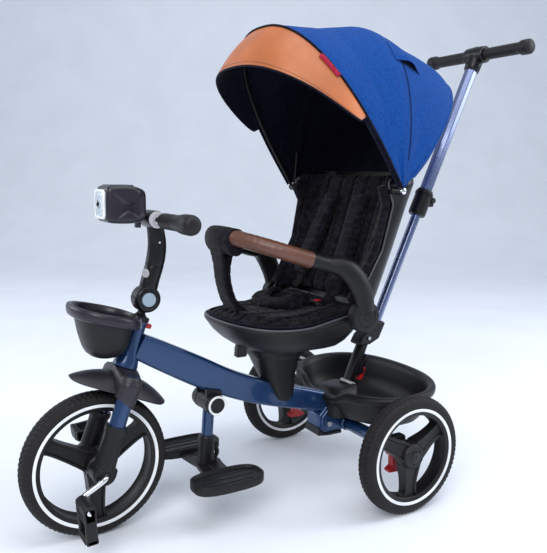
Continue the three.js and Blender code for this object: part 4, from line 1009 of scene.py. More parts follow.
def build_pedals():
    piece("crank_skin", [on_hub(s) for s in crank()], CHROME, "front_wheel", "crank_axle")
    for side, word, turn in ((1, "left", 4), (-1, "right", -84)):
        y, z = spindle_at(side)
        place = lambda s: on_hub(shifted(placed(s, lambda p: turned_x(p, math.radians(turn))), (0, y, z)))
        body, strips = pedal_shapes(side)
        piece(f"pedal_{word}_skin", [place(s) for s in body], BLACK_PLASTIC, f"{word}_pedal", f"pedal_{word}")
        piece(f"pedal_{word}_strips", [place(s) for s in strips], GRIP_RUBBER, f"{word}_pedal")


# ---------- footrest ----------
PLATE_X = 102


def build_footrest():
    y, z = FOOT
    at = lambda s: shifted(s, (0, y, z))
    cheeks = [at(lathe([(0, side * 20.3), (21.6, side * 20.3), (22.4, side * 21.2), (22.4, side * 31),
                        (21.6, side * 32), (0, side * 32)], 64)) for side in (1, -1)]
    webs = [side_cut([(y - 17, z + 4), (y + 17, z + 4), (y + 18, z + 26), (y - 19, z + 34)],
                     *span(side, 20.3, 26)) for side in (1, -1)]
    piece("footrest_bracket_skin", [*cheeks, *webs], BLACK_PLASTIC, "frame", "footrest_bracket", bevel=2)
    cap = [(0, 32.4), (20.4, 32.4), (21, 33), (21, 40.8), (20.5, 41.8), (16.6, 41.8), (15.6, 40.4), (7, 40.4),
           (6, 41.2), (0, 41.2)]
    caps = [at(lathe([(r, side * x) for r, x in cap], 64)) for side in (1, -1)]
    pin = at(barrel(5, 38, 24))
    piece("footrest_pin_skin", [*caps, pin], BLACK_PLASTIC, "frame", "footrest_pin")
    rings = [at(lathe([(16.2, side * 41.2), (20.8, side * 41.2), (20.8, side * 42), (20, side * 42.8),
                       (17, side * 42.8), (16.2, side * 42)], 64, closed=True)) for side in (1, -1)]
    piece("footrest_white_rings", rings, WHITE_PLASTIC, "frame")
    hub = lathe([(0, -20), (21, -20), (21.8, -19.2), (21.8, 19.2), (21, 20), (0, 20)], 64)
    piece("footrest_hub", [at(hub)], BLACK_PLASTIC, "footrest")
    post = rod((0, 0, -4), (0, -7.5, -118), 12.5, count=64)
    piece("footrest_post_skin", [at(post)], BLUE_PAINT, "footrest", "footrest_post")
    sleeve = [(0, -4.4, -75), (0, -4.8, -78), (0, -5.2, -84), (0, -8.6, -136), (0, -9, -142)]
    parts = [tube(sleeve, [15.4, 17.5, 17.7, 17.7, 18.4], 64), barrel(8, 7, 32)]
    parts[1] = shifted(parts[1], (0, 12, -98))
    parts.append(tube(spline([(0, 6, -96), (0, 16, -108), (0, 19, -120), (0, 12, -132)], 16), 5, 16))
    for side in (1, -1):
        levels = [(5, -146), (1, -145.4), (0, -142), (0, -127.4), (0.8, -126.2), (3.2, -126.2), (4.4, -127.4),
                  (5.2, -131), (8, -132.4), (20, -132.6)]
        rings = [oval(40 - i, 77 - i, -8, h, 3, 96) + (side * PLATE_X, 0, 0) for i, h in levels]
        parts.append(loft(rings))
        for k in (-2, 0, 2):
            length = 58 - 3.2 * abs(k)
            x = side * PLATE_X + k * 9
            parts.append(rounded_box(x - 1.6, x + 1.6, -8 - length, -8 + length, -134, -131.4, 1.0))
    wing = [(-76, -26), (-60, -38), (-26, -34), (0, -30), (26, -34), (60, -38), (76, -26), (76, 14), (52, 20),
            (22, 22), (0, 26), (-22, 22), (-52, 20), (-76, 14)]
    web_points = [(x, yy, h) for h in (-144, -135) for x, yy in wing]
    n = len(wing)
    faces = [(j, (j + 1) % n, (j + 1) % n + n, j + n) for j in range(n)]
    faces += [tuple(range(n)), tuple(range(n, 2 * n))]
    parts.append((np.array(web_points, float), faces))
    parts.append(rounded_box(-70, 70, -12, -2, -137, -133, 2))
    piece("foot_plates_skin", [at(s) for s in parts], BLACK_PLASTIC, "footrest", "foot_plates", bevel=0.8)


build_frame()
build_front_basket()
build_fork()
build_stem()
build_pedals()
build_footrest()


# ---------- soft pieces ----------
CLOTH_FRAMES, CLOTH_QUALITY = 20, 4


def puffed(name, shape, voxel=5.0, pressure=4.0, cap=6.0):
    """Points and faces of a shape after its skin has swelled like a filled cover."""
    points, faces = shape
    mesh = bpy.data.meshes.new(name)
    mesh.from_pydata([tuple(p / 1000) for p in np.asarray(points)], [], faces)
    pad = bpy.data.objects.new(name, mesh)
    bpy.context.scene.collection.objects.link(pad)
    remesh = pad.modifiers.new("grid", "REMESH")
    remesh.mode, remesh.voxel_size = "VOXEL", voxel / 1000
    apply_modifiers(pad)
    before = positions(pad.data)
    cloth = pad.modifiers.new("cloth", "CLOTH")
    cloth.settings.use_pressure = True
    cloth.settings.uniform_pressure_force = pressure
    cloth.settings.effector_weights.gravity = 0
    cloth.settings.quality = CLOTH_QUALITY
    cloth.point_cache.frame_start, cloth.point_cache.frame_end = 1, CLOTH_FRAMES
    for number in range(1, CLOTH_FRAMES + 1):
        bpy.context.scene.frame_set(number)
    apply_modifiers(pad)
    move = positions(pad.data) - before
    length = np.linalg.norm(move, axis=1)[:, None]
    after = before + move * np.minimum(1, cap / 1000 / np.maximum(length, 1e-9))
    pad.data.vertices.foreach_set("co", after.ravel().astype(np.float32))
    fine = pad.modifiers.new("fine", "SUBSURF")
    fine.levels = 1
    apply_modifiers(pad)
    result = positions(pad.data) * 1000, [tuple(face.vertices) for face in pad.data.polygons]
    bpy.context.scene.frame_set(1)
    bpy.data.objects.remove(pad)
    return result


def positions(mesh):
    flat = np.zeros(len(mesh.vertices) * 3, np.float32)
    mesh.vertices.foreach_get("co", flat)
    return flat.reshape(-1, 3).astype(float)


def apply_modifiers(obj):
    graph = bpy.context.evaluated_depsgraph_get()
    baked = bpy.data.meshes.new_from_object(obj.evaluated_get(graph))
    obj.modifiers.clear()
    obj.data = baked


def vertex_normals(shape):
    points, faces = shape
    points = np.asarray(points, float)
    normals = np.zeros_like(points)
    for face in faces:
        corners = points[list(face)]
        normal = np.cross(corners[2] - corners[0], corners[-1] - corners[1])
        for i in face:
            normals[i] += normal
    outward = np.sign(np.sum(normals * (points - points.mean(0))))
    return outward * normals / np.maximum(np.linalg.norm(normals, axis=1)[:, None], 1e-9)


def zigzag(u, period):
    return np.abs((u / period) % 1 - 0.5) * 2


def groove(distance, width):
    return np.exp(-(distance / width) ** 2)


def padded_piece(name, shape, body, nodes=(), material=QUILT_CLOTH, sharp=180):
    made = piece(name, [shape], material, body, nodes, sharp)
    return made


# ---------- seat ----------
def seat_ring(half, front, back, z, rise=0.0):
    """Half an oval in front, straight sides and rounded corners behind."""
    middle, corner = -20, 34
    t = math.pi + math.pi * np.linspace(0, 1, 61)
    x = half * signed_power(np.cos(t), 0.86)
    y = middle + (middle - front) * signed_power(np.sin(t), 0.86)
    for start_x, start in ((half - corner, 0), (corner - half, 90)):
        a = np.radians(start + np.linspace(0, 90, 10))
        x = np.concatenate([x, start_x + corner * np.cos(a)])
        y = np.concatenate([y, back - corner + corner * np.sin(a)])
    s = (y - front) / (back - front)
    return np.stack([x, y, z + rise * s * (2.7 * s - 1.7)], 1)


def seat_shell():
    levels = [(88, -92, 58, 336.3, 0), (92, -96, 62, 336.5, 0), (102, -108, 71, 339, 0),
              (114, -120, 82, 344.5, 0), (129, -137, 92, 356, 3), (143, -154, 102, 372, 8),
              (150, -168, 108, 391, 23), (152.5, -171, 111, 395.6, 25), (154, -172, 112, 397.5, 25),
              (154, -172, 112, 401.6, 25), (153, -171, 111, 403, 25), (149, -167, 107, 403, 25),
              (147.5, -165, 105.6, 401.6, 25), (137, -148, 98, 376, 8), (108, -114, 78, 349, 0),
              (88, -92, 60, 342, 0)]
    return loft([seat_ring(*level) for level in levels])


def quilted(shape, pattern, depth):
    """Presses sewn lines into a padded shape; the pattern gives 0 to 1 for every point."""
    points, faces = shape
    points = np.asarray(points, float)
    return points - vertex_normals(shape) * (depth * pattern(points))[:, None], faces


def cushion_lines(points):
    """Chevron quilting over the seat, with long sewn channels at two distances either side of the middle."""
    x, y, z = points.T
    chevrons = groove(((y + 13 * zigzag(x, 46)) % 23) - 11.5, 1.9)
    channels = groove(np.abs(x) - 52, 3.2) + groove(np.abs(x) - 106, 3.2)
    return np.clip(0.75 * chevrons + 1.4 * channels, 0, 1.5) * smooth((z - 400) / 8)


def build_seat():
    piece("seat_shell_skin", [seat_shell()], BLACK_PLASTIC, "seat", "seat_shell", sharp=55)
    spigot = [rod((0, -22, 316), (0, -22, 338), 20, count=48)]
    piece("seat_spigot", spigot, STEEL, "seat")
    rim_line = seat_ring(151.4, -169.4, 109.6, 404.4, 25)
    piping = loft(piping_rings(rim_line, 2.1), closed=True)
    piece("seat_rim_trim", [piping], TRIM_GREY, "seat")
    rings = [seat_ring(*level) for level in (
        (84, -88, 56, 344), (104, -110, 72, 352), (131, -141, 87, 378, 6), (142, -159, 92, 401, 21),
        (143, -160, 93, 408, 21), (137, -155, 88, 414.5, 19), (120, -138, 77, 417, 13), (80, -92, 44, 414, 8),
        (34, -50, 8, 413, 6))]
    rings = [r[::3] for r in rings]
    shape = puffed("cushion_fill", loft(rings), cap=5.5)
    shape = quilted(shape, cushion_lines, 4.0)
    padded_piece("seat_cushion_cover", shape, "seat", "seat_cushion")
    edge = seat_ring(144.5, -161.5, 94, 407.5, 21)
    piece("seat_cushion_piping", [loft(piping_rings(edge, 2.2), closed=True)], BINDING, "seat")
    tab = [(-120, 316), (-98, 316), (-96, 320), (-98, 338), (-118, 343)]
    ribs = [rounded_box(-8.6, 8.6, -121 + 0.4 * k, -119, 319 + 5 * k, 321.4 + 5 * k, 0.8) for k in range(4)]
    piece("seat_tab_skin", [side_cut(tab, -8, 8), *ribs], SATIN_PLASTIC, "seat_tab", "seat_release_tab",
          bevel=1.5)
    build_harness()


def piping_rings(line, radius, count=10):
    """Rings of a round cord that closes on itself along a loop of points."""
    line = np.asarray(line, float)
    along = np.roll(line, -1, 0) - np.roll(line, 1, 0)
    along /= np.maximum(np.linalg.norm(along, axis=1)[:, None], 1e-9)
    up = np.array([0, 0, 1.0])
    rings = []
    for p, t in zip(line, along):
        u = np.cross(t, up)
        u /= np.linalg.norm(u)
        w = np.cross(u, t)
        a = ring_angles(count)
        rings.append(p + radius * (np.outer(np.cos(a), u) + np.outer(np.sin(a), w)))
    return rings


def build_harness():
    x, y, z = 60, 48, 421.3
    body = [rounded_box(x - 20, x + 20, y - 12, y + 12, z, z + 14, 4),
            rounded_box(x - 26, x - 18, y - 8, y + 8, z + 3, z + 11, 2),
            rounded_box(x + 18, x + 26, y - 8, y + 8, z + 3, z + 11, 2)]
    piece("harness_buckle_skin", body, SATIN_PLASTIC, "seat", "harness_buckle")
    press = [rounded_box(x - 7, x + 7, y - 7, y + 7, z + 10, z + 16.6, 2.4),
             rounded_box(x - 4, x + 4, y - 4, y + 4, z + 15, z + 17.4, 1.4)]
    piece("buckle_button_skin", press, RED_PLASTIC, "harness_button", "buckle_button")
    lap = spline([(-104, 40, 432), (-92, 6, 434), (-60, -26, 428), (-14, -36, 426), (22, -18, 430),
                  (44, 14, 434), (52, 34, 434)], 80)
    ribs = 40 + 2.2 * np.sin(np.arange(80) * 1.15)
    belt = strap(lap, ribs, 15, (0.35, 0.9, 0.25))
    belt = quilted(belt, lambda p: groove(((p[:, 0] + 0.4 * p[:, 1]) % 11) - 5.5, 1.5), 2.4)
    padded_piece("lap_belt_pad", belt, "seat")
    webs = [strap(spline([(96, 74, 436), (88, 62, 432), (76, 52, 430)], 12), 25, 2.2, (0.1, 0.7, 0.7)),
            strap(spline([(44, 46, 429), (20, 60, 428), (-20, 66, 428), (-70, 70, 432)], 24), 25, 2.2,
                  (0, 1, 0.3)),
            strap(spline([(60, 62, 430), (64, 80, 446), (72, 92, 470)], 16), 25, 2.2, (1, 0.2, 0))]
    for k, web in enumerate(webs):
        belt = piece(f"harness_web_{k + 1}", [web], WEBBING, "seat")


# ---------- backrest ----------
BACK_LEVELS = np.array([
    (390, 66, 124, 162), (414, 62, 130, 162), (460, 90, 150, 163), (552, 140, 184, 167), (646, 160, 214, 173),
    (690, 140, 228, 178), (716, 166, 236, 166),
], float)


def level_at(z):
    return [np.interp(z, BACK_LEVELS[:, 0], BACK_LEVELS[:, k]) for k in (1, 2, 3)]


def channel_path(half, back, front, z, count=14):
    """From one wing's front edge round the back to the other's, with rounded corners."""
    corner = 40
    quarter = np.radians(np.linspace(0, 90, 8))
    left = [(half, front + (back - corner - front) * k / count, z) for k in range(count)]
    left += [(half - corner + corner * math.cos(a), back - corner + corner * math.sin(a), z) for a in quarter]
    middle = [((half - corner) * (1 - 2 * k / 30), back, z) for k in range(1, 30)]
    return np.array(left + middle + [(-x, y, z) for x, y, z in reversed(left)])


def backrest_shell():
    outer, inner = [], []
    for z in [390, 395, 402, 414, 426, *np.linspace(440, 716, 44)]:
        front, back, half = level_at(z)
        outer.append(channel_path(half, back, front, z))
        inner.append(channel_path(half - 5, back - 5, front, z))
    return plate(outer, inner)


def liner_shape():
    clear, wing_pad, back_pad = 9, 14, 28
    back, front = [], []
    for z in np.linspace(438, 712, 24):
        wing, rear, half = level_at(z)
        back.append(channel_path(half - clear, rear - clear, wing - 10, z, 8))
        front.append(channel_path(half - clear - wing_pad, rear - clear - back_pad, wing - 10, z, 8))
    return plate(back, front)


def liner_lines(points):
    """Long channels up the back and wings, and a herringbone stitched across the pad."""
    x, y, z = points.T
    channels = groove(np.abs(x) - 46, 4.5) + groove(np.abs(x) - 96, 4.5) + groove(x, 3.5)
    herringbone = groove(((z + 16 * zigzag(x, 32)) % 18) - 9, 1.9)
    facing = smooth((np.interp(z, BACK_LEVELS[:, 0], BACK_LEVELS[:, 2]) - 22 - y) / 6)
    return np.clip(0.5 * herringbone + 1.6 * channels, 0, 1.6) * facing


def build_backrest():
    piece("backrest_shell_skin", [backrest_shell()], SATIN_PLASTIC, "backrest", "backrest_shell", sharp=60)
    pins = []
    for side in (1, -1):
        boss = lathe([(0, side * 171), (8, side * 171), (8, side * 187), (7, side * 188), (3, side * 188.4),
                      (3, side * 209), (0, side * 209)], 32)
        pins.append(shifted(boss, (0, HINGE["y"], HINGE["z"])))
    piece("canopy_hinge_pins", pins, SATIN_PLASTIC, "backrest")
    shape = puffed("liner_fill", liner_shape(), cap=6)
    shape = quilted(shape, liner_lines, 3.4)
    padded_piece("backrest_liner_cover", shape, "backrest", "backrest_liner")
    for side, word in SIDES:
        edge = [(side * (level_at(z)[2] - 2.4), level_at(z)[0] - 1.6, z) for z in np.linspace(412, 700, 40)]
        trim = tube(edge, 2.1, 12)
        piece(f"backrest_edge_trim_{word}", [trim], TRIM_GREY, "backrest")
        band = [(side * (level_at(z)[2] - 14), level_at(z)[0] - 12, z) for z in np.linspace(446, 684, 34)]
        bolster = strap(band, np.linspace(22, 18, 8), 17, (side * 0.8, -0.4, 0), 60)
        padded_piece(f"backrest_wing_bolster_{word}", bolster, "backrest")
    build_shoulder_straps()


def build_shoulder_straps():
    for side, word in SIDES:
        path = []
        for z, lean in ((664, 0), (630, -3), (590, -8), (545, -12), (505, -14), (478, -12)):
            rear = level_at(z)[1]
            path.append((side * np.interp(z, (478, 664), (74, 52)), rear - 52 + lean, z))
        line = spline(path, 60)
        shape = strap(line, [52, 58, 60, 58, 50], 17, (1, 0, 0))
        shape = puffed(f"shoulder_fill_{word}", shape, voxel=4.5, cap=4)
        shape = quilted(shape, lambda p: groove((p[:, 2] % 15) - 7.5, 1.7), 2.2)
        padded_piece(f"shoulder_pad_{word}", shape, "backrest")
        low = line[-1]
        tail = strap(spline([low, low + (0, -4, -18), (side * 78, 78, 446)], 20), 25, 2.2, (1, 0, 0))
        web = piece(f"shoulder_web_{word}", [tail], WEBBING, None)
        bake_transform(web)


# ---------- bumper bar ----------
LEATHER_FROM = 15  # points of the bar's line, of 240, from each end


def bumper_line(count):
    a = np.linspace(0, math.pi, count)
    return np.stack([150 * signed_power(np.cos(a), 0.9), 7 - 161 * signed_power(np.sin(a), 0.9),
                     528 + 52 * np.sin(a)], 1)


def build_bumper():
    arm = spline([(181, 84, 430, 15), (181, 80, 456, 14.5), (179, 68, 486, 14.5), (173, 50, 511, 15),
                  (163, 30, 524, 15.5), (150.5, 9, 528, 15.5)], 50)
    line = bumper_line(240)
    knuckle = tube(np.vstack([arm[-1:, :3], line[2:LEATHER_FROM + 2]]), 16.4, 48)
    broad = np.interp(np.linspace(0, 5, 50), range(6), (1.35, 1.5, 1.6, 1.5, 1.22, 1.0))
    arm_tube = tube(arm[:, :3], arm[:, 3] + 0.8, 48, squash=broad)
    disc = lathe([(0, 164), (31.6, 164), (33, 165.4), (33, 184.5), (31.4, 187), (27, 188), (22.5, 188),
                  (21.6, 186.8), (20.4, 186.8), (19.6, 187.8), (9, 187.8), (8.2, 186.8), (7, 186.8),
                  (6.2, 187.6), (0, 187.6)], 96)
    disc = shifted(disc, (0, PIVOT[0], PIVOT[1]))
    parts = [knuckle, arm_tube, disc]
    piece("bumper_frame_skin", parts + [mirrored(s) for s in parts], BLACK_PLASTIC, "bumper", "bumper_frame")
    cut = line[LEATHER_FROM:-LEATHER_FROM]
    cover = tube(cut, 17.0 + 0.2 * np.sin(np.arange(len(cut)) * 0.9), 48, squash=0.97)
    piece("bumper_leather", [cover], BROWN_LEATHER, "bumper", "bumper_cover", sharp=60)
    seam = tube(cut[2:-2] + (0, 4.8, -16.2), 0.9, 8)
    piece("bumper_leather_seam", [seam], BINDING, "bumper")
    middle = line[96:145]
    a = ring_angles(48)
    drape = [p + np.stack([0 * a, 21.5 * np.cos(a) * (1 + 0.1 * np.sin(a)), 28 * np.sin(a) - 8.5], 1)
             for p in middle]
    band = loft(drape)
    band = quilted(band, lambda p: groove((p[:, 0] % 23) - 11.5, 1.2), 0.8)
    padded_piece("bumper_fabric_band", band, "bumper", sharp=60)
    build_crotch_strap()


def build_crotch_strap():
    """Two layers hang from the band, meet below a small slit and run down to the front of the seat."""
    top = bumper_line(241)[120]
    for name, shift in (("front", -12), ("back", 12)):
        path = [top + (0, shift, -16), top + (0, shift * 0.95, -34), top + (0, shift * 0.5, -62),
                top + (0, 3 + shift * 0.4, -96), (0, -139 + shift * 0.4, 446), (0, -122 + shift * 0.7, 424)]
        shape = strap(spline(path, 60), [74, 58, 52, 50, 54, 62], 9, (1, 0, 0))
        shape = quilted(shape, lambda p: 1.2 * groove(np.abs(p[:, 0]) - 19, 1.4)
                        + groove((p[:, 2] % 17) - 8, 1.5), 1.2)
        layer = padded_piece(f"crotch_strap_{name}", shape, None)
        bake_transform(layer)


build_seat()
build_backrest()
build_bumper()


# ---------- canopy ----------
ARCH_BASE, CANOPY_HALF, FRONT_RADIUS = 43, 212, 391
FRONT_EXPONENT = 2 / 2.45  # a superellipse a little squarer than an oval
TOP_ANGLES = (-52, -33.3, -24, -15, -6, 3, 20, 30, 38, 46)
TOP_RADII = (372, 391, 364, 349, 348, 355, 345, 356, 369, 373)
HEM_ANGLE = 45


def top_radius(angle):
    spread = np.linspace(-3, 3, 7)
    return float(np.mean(np.interp(angle + spread, TOP_ANGLES, TOP_RADII)))


def arch(half, top, angle, start, count):
    """Points of an arch from its left foot over the top to its right foot, about the hinge line."""
    exponent = 2 / np.interp(angle, (-33.3, -15.3), (2.45, 2))
    t = np.linspace(start, math.pi - start, count)
    x = half * signed_power(np.cos(t), exponent)
    radius = ARCH_BASE + (top - ARCH_BASE) * np.abs(np.sin(t)) ** exponent
    return on_arch(x, radius, angle)


def on_arch(x, radius, angle):
    a = np.radians(angle)
    x, radius, a = np.broadcast_arrays(x, radius, a)
    return np.stack([x, HINGE["y"] + radius * np.sin(a), HINGE["z"] + radius * np.cos(a)], -1)


def drag(t, angle):
    """Soft folds where the cloth is gathered towards the hinges."""
    low = smooth((0.75 - np.abs(np.sin(t))) / 0.5)
    ripple = np.sin(7.5 * t + 0.11 * angle) + 0.6 * np.sin(15 * t - 0.23 * angle + 1.3)
    between = math.sin(math.pi * min(1, abs(angle - 3) / 34))
    return 2.0 * low * ripple * max(0.15, between)


def inset_at(angle):
    """How far the rear cloth draws in from the front hoop's outline."""
    return np.interp(angle, (0, 18, 45), (0, 4.5, 9))


def cloth_rows(first, last, rows, shrink, count=121):
    grid = []
    t = np.linspace(0.06, math.pi - 0.06, count)
    for angle in np.linspace(first, last, rows):
        inset = inset_at(angle) + shrink
        row = arch(CANOPY_HALF - inset, top_radius(angle) - inset, angle, 0.06, count)
        centre = np.array([0, HINGE["y"], HINGE["z"]])
        away = row - centre
        away /= np.linalg.norm(away, axis=1)[:, None]
        seam = 1.3 * groove(angle - 9.4, 0.7) + 0.8 * groove(angle + 31.4, 0.7)
        grid.append(to_hinge(row + away * (np.minimum(0, drag(t, angle)) - seam)[:, None], angle))
    return np.array(grid)


def to_hinge(row, angle):
    """Carries an arch's two ends straight down to the hinges."""
    feet = []
    for x, y, z in (row[0], row[-1]):
        reach = math.hypot(y - HINGE["y"], z - HINGE["z"])
        feet.append([on_arch(x, 11 + (reach - 11) * k / 6, angle) for k in range(6)])
    return np.vstack([feet[0], row, feet[1][::-1]])


def grid_size(grid):
    """Longest run each way and the area of a grid of points, in metres."""
    across = np.linalg.norm(np.diff(grid, axis=1), axis=2).sum(1).max() / 1000
    along = np.linalg.norm(np.diff(grid, axis=0), axis=2).sum(0).max() / 1000
    a = grid[1:, 1:] - grid[:-1, :-1]
    b = grid[1:, :-1] - grid[:-1, 1:]
    return (float(along), float(across)), float(np.linalg.norm(np.cross(a, b), axis=2).sum() / 2e6)


def hinge_blend(obj, before, after, first, last):
    """Bakes the piece's placement into its mesh; no fold is spread over the cloth."""
    spots = [tuple(on_arch(0, 340, angle) / 1000 + (0, ORIGIN_Y / 1000, 0)) for angle in (first, last)]
    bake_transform(obj)
    points = positions(obj.data) * 1000


def canopy_sheet(name, material, first, last, rows, outer, inner, fold, nodes=()):
    grid = cloth_rows(first, last, rows, outer)
    sheet = piece(name, [plate(grid, cloth_rows(first, last, rows, inner))], material, None, nodes, sharp=60)
    hinge_blend(sheet, *fold)
    return sheet


def hoop(angle, half, top, x):
    points = arch(half, top, angle, 0.12, 90)
    feet = [on_arch(side * x, r, angle) for side, r in ((1, 6), (1, 22), (-1, 22), (-1, 6))]
    line = np.vstack([feet[0], feet[1], points, feet[2], feet[3]])
    eyes = [lathe([(0, side * x - 4.3), (8, side * x - 4.3), (8.6, side * x), (8, side * x + 4.3),
                   (0, side * x + 4.3)], 32) for side in (1, -1)]
    return [tube(line, 4.3, 20), *[shifted(eye, (0, HINGE["y"], HINGE["z"])) for eye in eyes]]


def visor_grid(shrink, rows=14, count=97):
    grid = []
    t = np.linspace(0.3, math.pi - 0.3, count)
    exponent = FRONT_EXPONENT
    x = (CANOPY_HALF - shrink) * signed_power(np.cos(t), exponent)
    radius = ARCH_BASE + (FRONT_RADIUS - shrink - ARCH_BASE) * np.abs(np.sin(t)) ** exponent
    for share in np.linspace(0, 1, rows):
        reach = share * np.sin(np.linspace(0, math.pi, count)) ** 0.3
        crown = 2.2 * np.sin(math.pi * share)
        grid.append(on_arch(x * (1 + 0.079 * reach), radius - 18.4 * reach + crown,
                            -33.2 - share * 1.2 - 15 * reach))
    return np.array(grid)


REAR_FOLD = ("canopy_middle", "backrest", 5, 44)


def curtain_grid(shrink, rows=30):
    """Cloth from the rear hem down to the top of the backrest."""
    hem = cloth_rows(HEM_ANGLE, HEM_ANGLE, 1, shrink)[0]
    foot = channel_path(168.5 - shrink, 239 - shrink, 166, 703)
    foot = resampled(foot, len(hem))
    grid = []
    for s in np.linspace(0, 1, rows):
        t = np.linspace(0, math.pi, len(hem))
        full = 15 * math.sin(math.pi * s) + 2.5 * np.sin(t * 13) * math.sin(math.pi * s)
        out = np.stack([0 * t, full * 0.75 * np.sin(t), -full * 0.6 * np.sin(t)], 1)
        grid.append(hem * (1 - s) + foot * s + out)
    return np.array(grid)


def build_curtain():
    for name, material, outer, inner in (("canopy_curtain", CANOPY_CLOTH, 0, 1.5),
                                         ("canopy_curtain_lining", LINING, 1.9, 3.2)):
        grid = curtain_grid(outer)
        sheet = piece(name, [plate(grid, curtain_grid(inner))], material, "backrest", sharp=60)
    hem = tube(cloth_rows(HEM_ANGLE, HEM_ANGLE, 1, 0.2)[0], 1.7, 12)
    piece("canopy_rear_hem", [hem], CANOPY_CLOTH, "backrest")
    t = np.linspace(0.07, 0.82, 70)
    line = on_arch(210.6 * np.cos(t), ARCH_BASE + (top_radius(9.4) - 1.2 - ARCH_BASE) * np.sin(t), 9.4)
    stitches = piece("canopy_side_stitching", [tube(line, 0.8, 8)], BINDING, None)
    hinge_blend(stitches, *REAR_FOLD)


def build_canopy():
    front, rear = ("canopy_front", "canopy_middle", -31, 2), REAR_FOLD
    canopy_sheet("canopy_front_cloth", CANOPY_CLOTH, -33, 4, 40, 0, 1.5, front, ["canopy_front_panel"])
    canopy_sheet("canopy_rear_cloth", CANOPY_CLOTH, 4, HEM_ANGLE, 44, 0, 1.5, rear,
                 ["canopy_middle_panel", "canopy_rear_panel"])
    canopy_sheet("canopy_front_lining", LINING, -32.8, 3.8, 26, 1.9, 3.2, front)
    canopy_sheet("canopy_rear_lining", LINING, 4.2, HEM_ANGLE, 30, 1.9, 3.2, rear)
    build_curtain()
    piece("canopy_front_hoop_skin", hoop(-33.5, 203.5, 382, HINGE["x"] - 1), SATIN_PLASTIC, "canopy_front",
          "canopy_front_hoop")
    piece("canopy_middle_hoop_skin", hoop(3, 194.5, 344, HINGE["x"] - 10.5), SATIN_PLASTIC, "canopy_middle",
          "canopy_middle_hoop")
    rib = [arch(half, top, 3, 0.14, 60) for half, top in ((198, 346), (191, 338))]
    middle_band = strap(rib[1], 20, 2.4, (0, 1, 0), 90)
    padded_piece("canopy_middle_binding", middle_band, "canopy_middle", (), BINDING, 60)
    edge = to_hinge(arch(212.6, 391.6, -33.4, 0.06, 120), -33.4)
    piece("canopy_front_piping", [tube(edge, 2.6, 12)], BINDING, "canopy_front")
    binding = to_hinge(arch(208, 386, -34, 0.05, 120), -34)
    inside = strap(binding, 16, 2.2, (0, 0.9, 0.45), 120)
    padded_piece("canopy_front_binding", inside, "canopy_front", (), BINDING, 60)
    visor = plate(visor_grid(0), visor_grid(2.2))
    leather = piece("canopy_visor_leather", [visor], TAN_LEATHER, "canopy_front", "canopy_visor", sharp=60)
    visor_grid(0)
    under = piece("canopy_visor_lining", [plate(visor_grid(2.6), visor_grid(3.6))], LINING, "canopy_front",
                  sharp=60)
    visor_grid(0)
    rim_line = visor_grid(1.2)[-1]
    piece("canopy_visor_edge", [tube(rim_line, 2.0, 12)], BINDING, "canopy_front")
    stitches = visor_grid(-0.1)[-2]
    piece("canopy_visor_stitching", [tube(stitches, 0.45, 8)], BROWN_LEATHER, "canopy_front")
    build_canopy_details()


def vent_point(angle, t, lift):
    inset = inset_at(angle)
    radius = ARCH_BASE + (top_radius(angle) - inset - ARCH_BASE) * np.sin(t)
    x = (CANOPY_HALF - inset) * np.cos(t)
    return on_arch(x + lift * np.cos(t), radius + lift * np.sin(t), angle)


def vent_grid(shrink):
    """A flap sewn down on three sides; its lower edge stands open over the vent."""
    rows = []
    for angle in np.linspace(5, 21, 18):
        t = np.linspace(0.815, 1.03, 15)
        arched = math.sin(math.pi * smooth((angle - 5) / 16)) ** 0.7
        rows.append(vent_point(angle, t, 1.6 - shrink + 11 * arched * smooth((1.0 - t) / 0.16)))
    return np.array(rows)


def build_canopy_details():
    t = np.linspace(0.60, 0.80, 12)
    exponent = FRONT_EXPONENT
    tag_line = on_arch(215 * np.cos(t) ** exponent, ARCH_BASE + (394 - ARCH_BASE) * np.sin(t) ** exponent,
                       -34.5)
    tag = strap(tag_line, 10, 2.2, (0, 0.75, 0.6), 24)
    padded_piece("canopy_side_tag", tag, "canopy_front", (), TAG_RED, 60)
    vent = piece("canopy_vent_flap", [plate(vent_grid(0), vent_grid(1.4))], CANOPY_CLOTH, None, sharp=60)
    grid_size(vent_grid(0))[0]
    hinge_blend(vent, *REAR_FOLD)
    slit = [vent_point(angle, 0.845, 0.9) for angle in np.linspace(6.5, 19.5, 24)]
    dark = strap(slit, [1, 7, 12, 13, 12, 4], 1.2, (0.66, 0, -0.75), 24)
    dark = padded_piece("canopy_vent_mesh", dark, None, (), BINDING, 38)
    hinge_blend(dark, *REAR_FOLD)
    rivets = []
    for side in (1, -1):
        rivet = lathe([(0, side * 205), (6.4, side * 205), (6.8, side * 210), (6.2, side * 212.4),
                       (3.6, side * 213.8), (0, side * 214.2)], 32)
        rivets.append(shifted(rivet, (0, HINGE["y"], HINGE["z"])))
    piece("canopy_rivets", rivets, CHROME, "backrest")


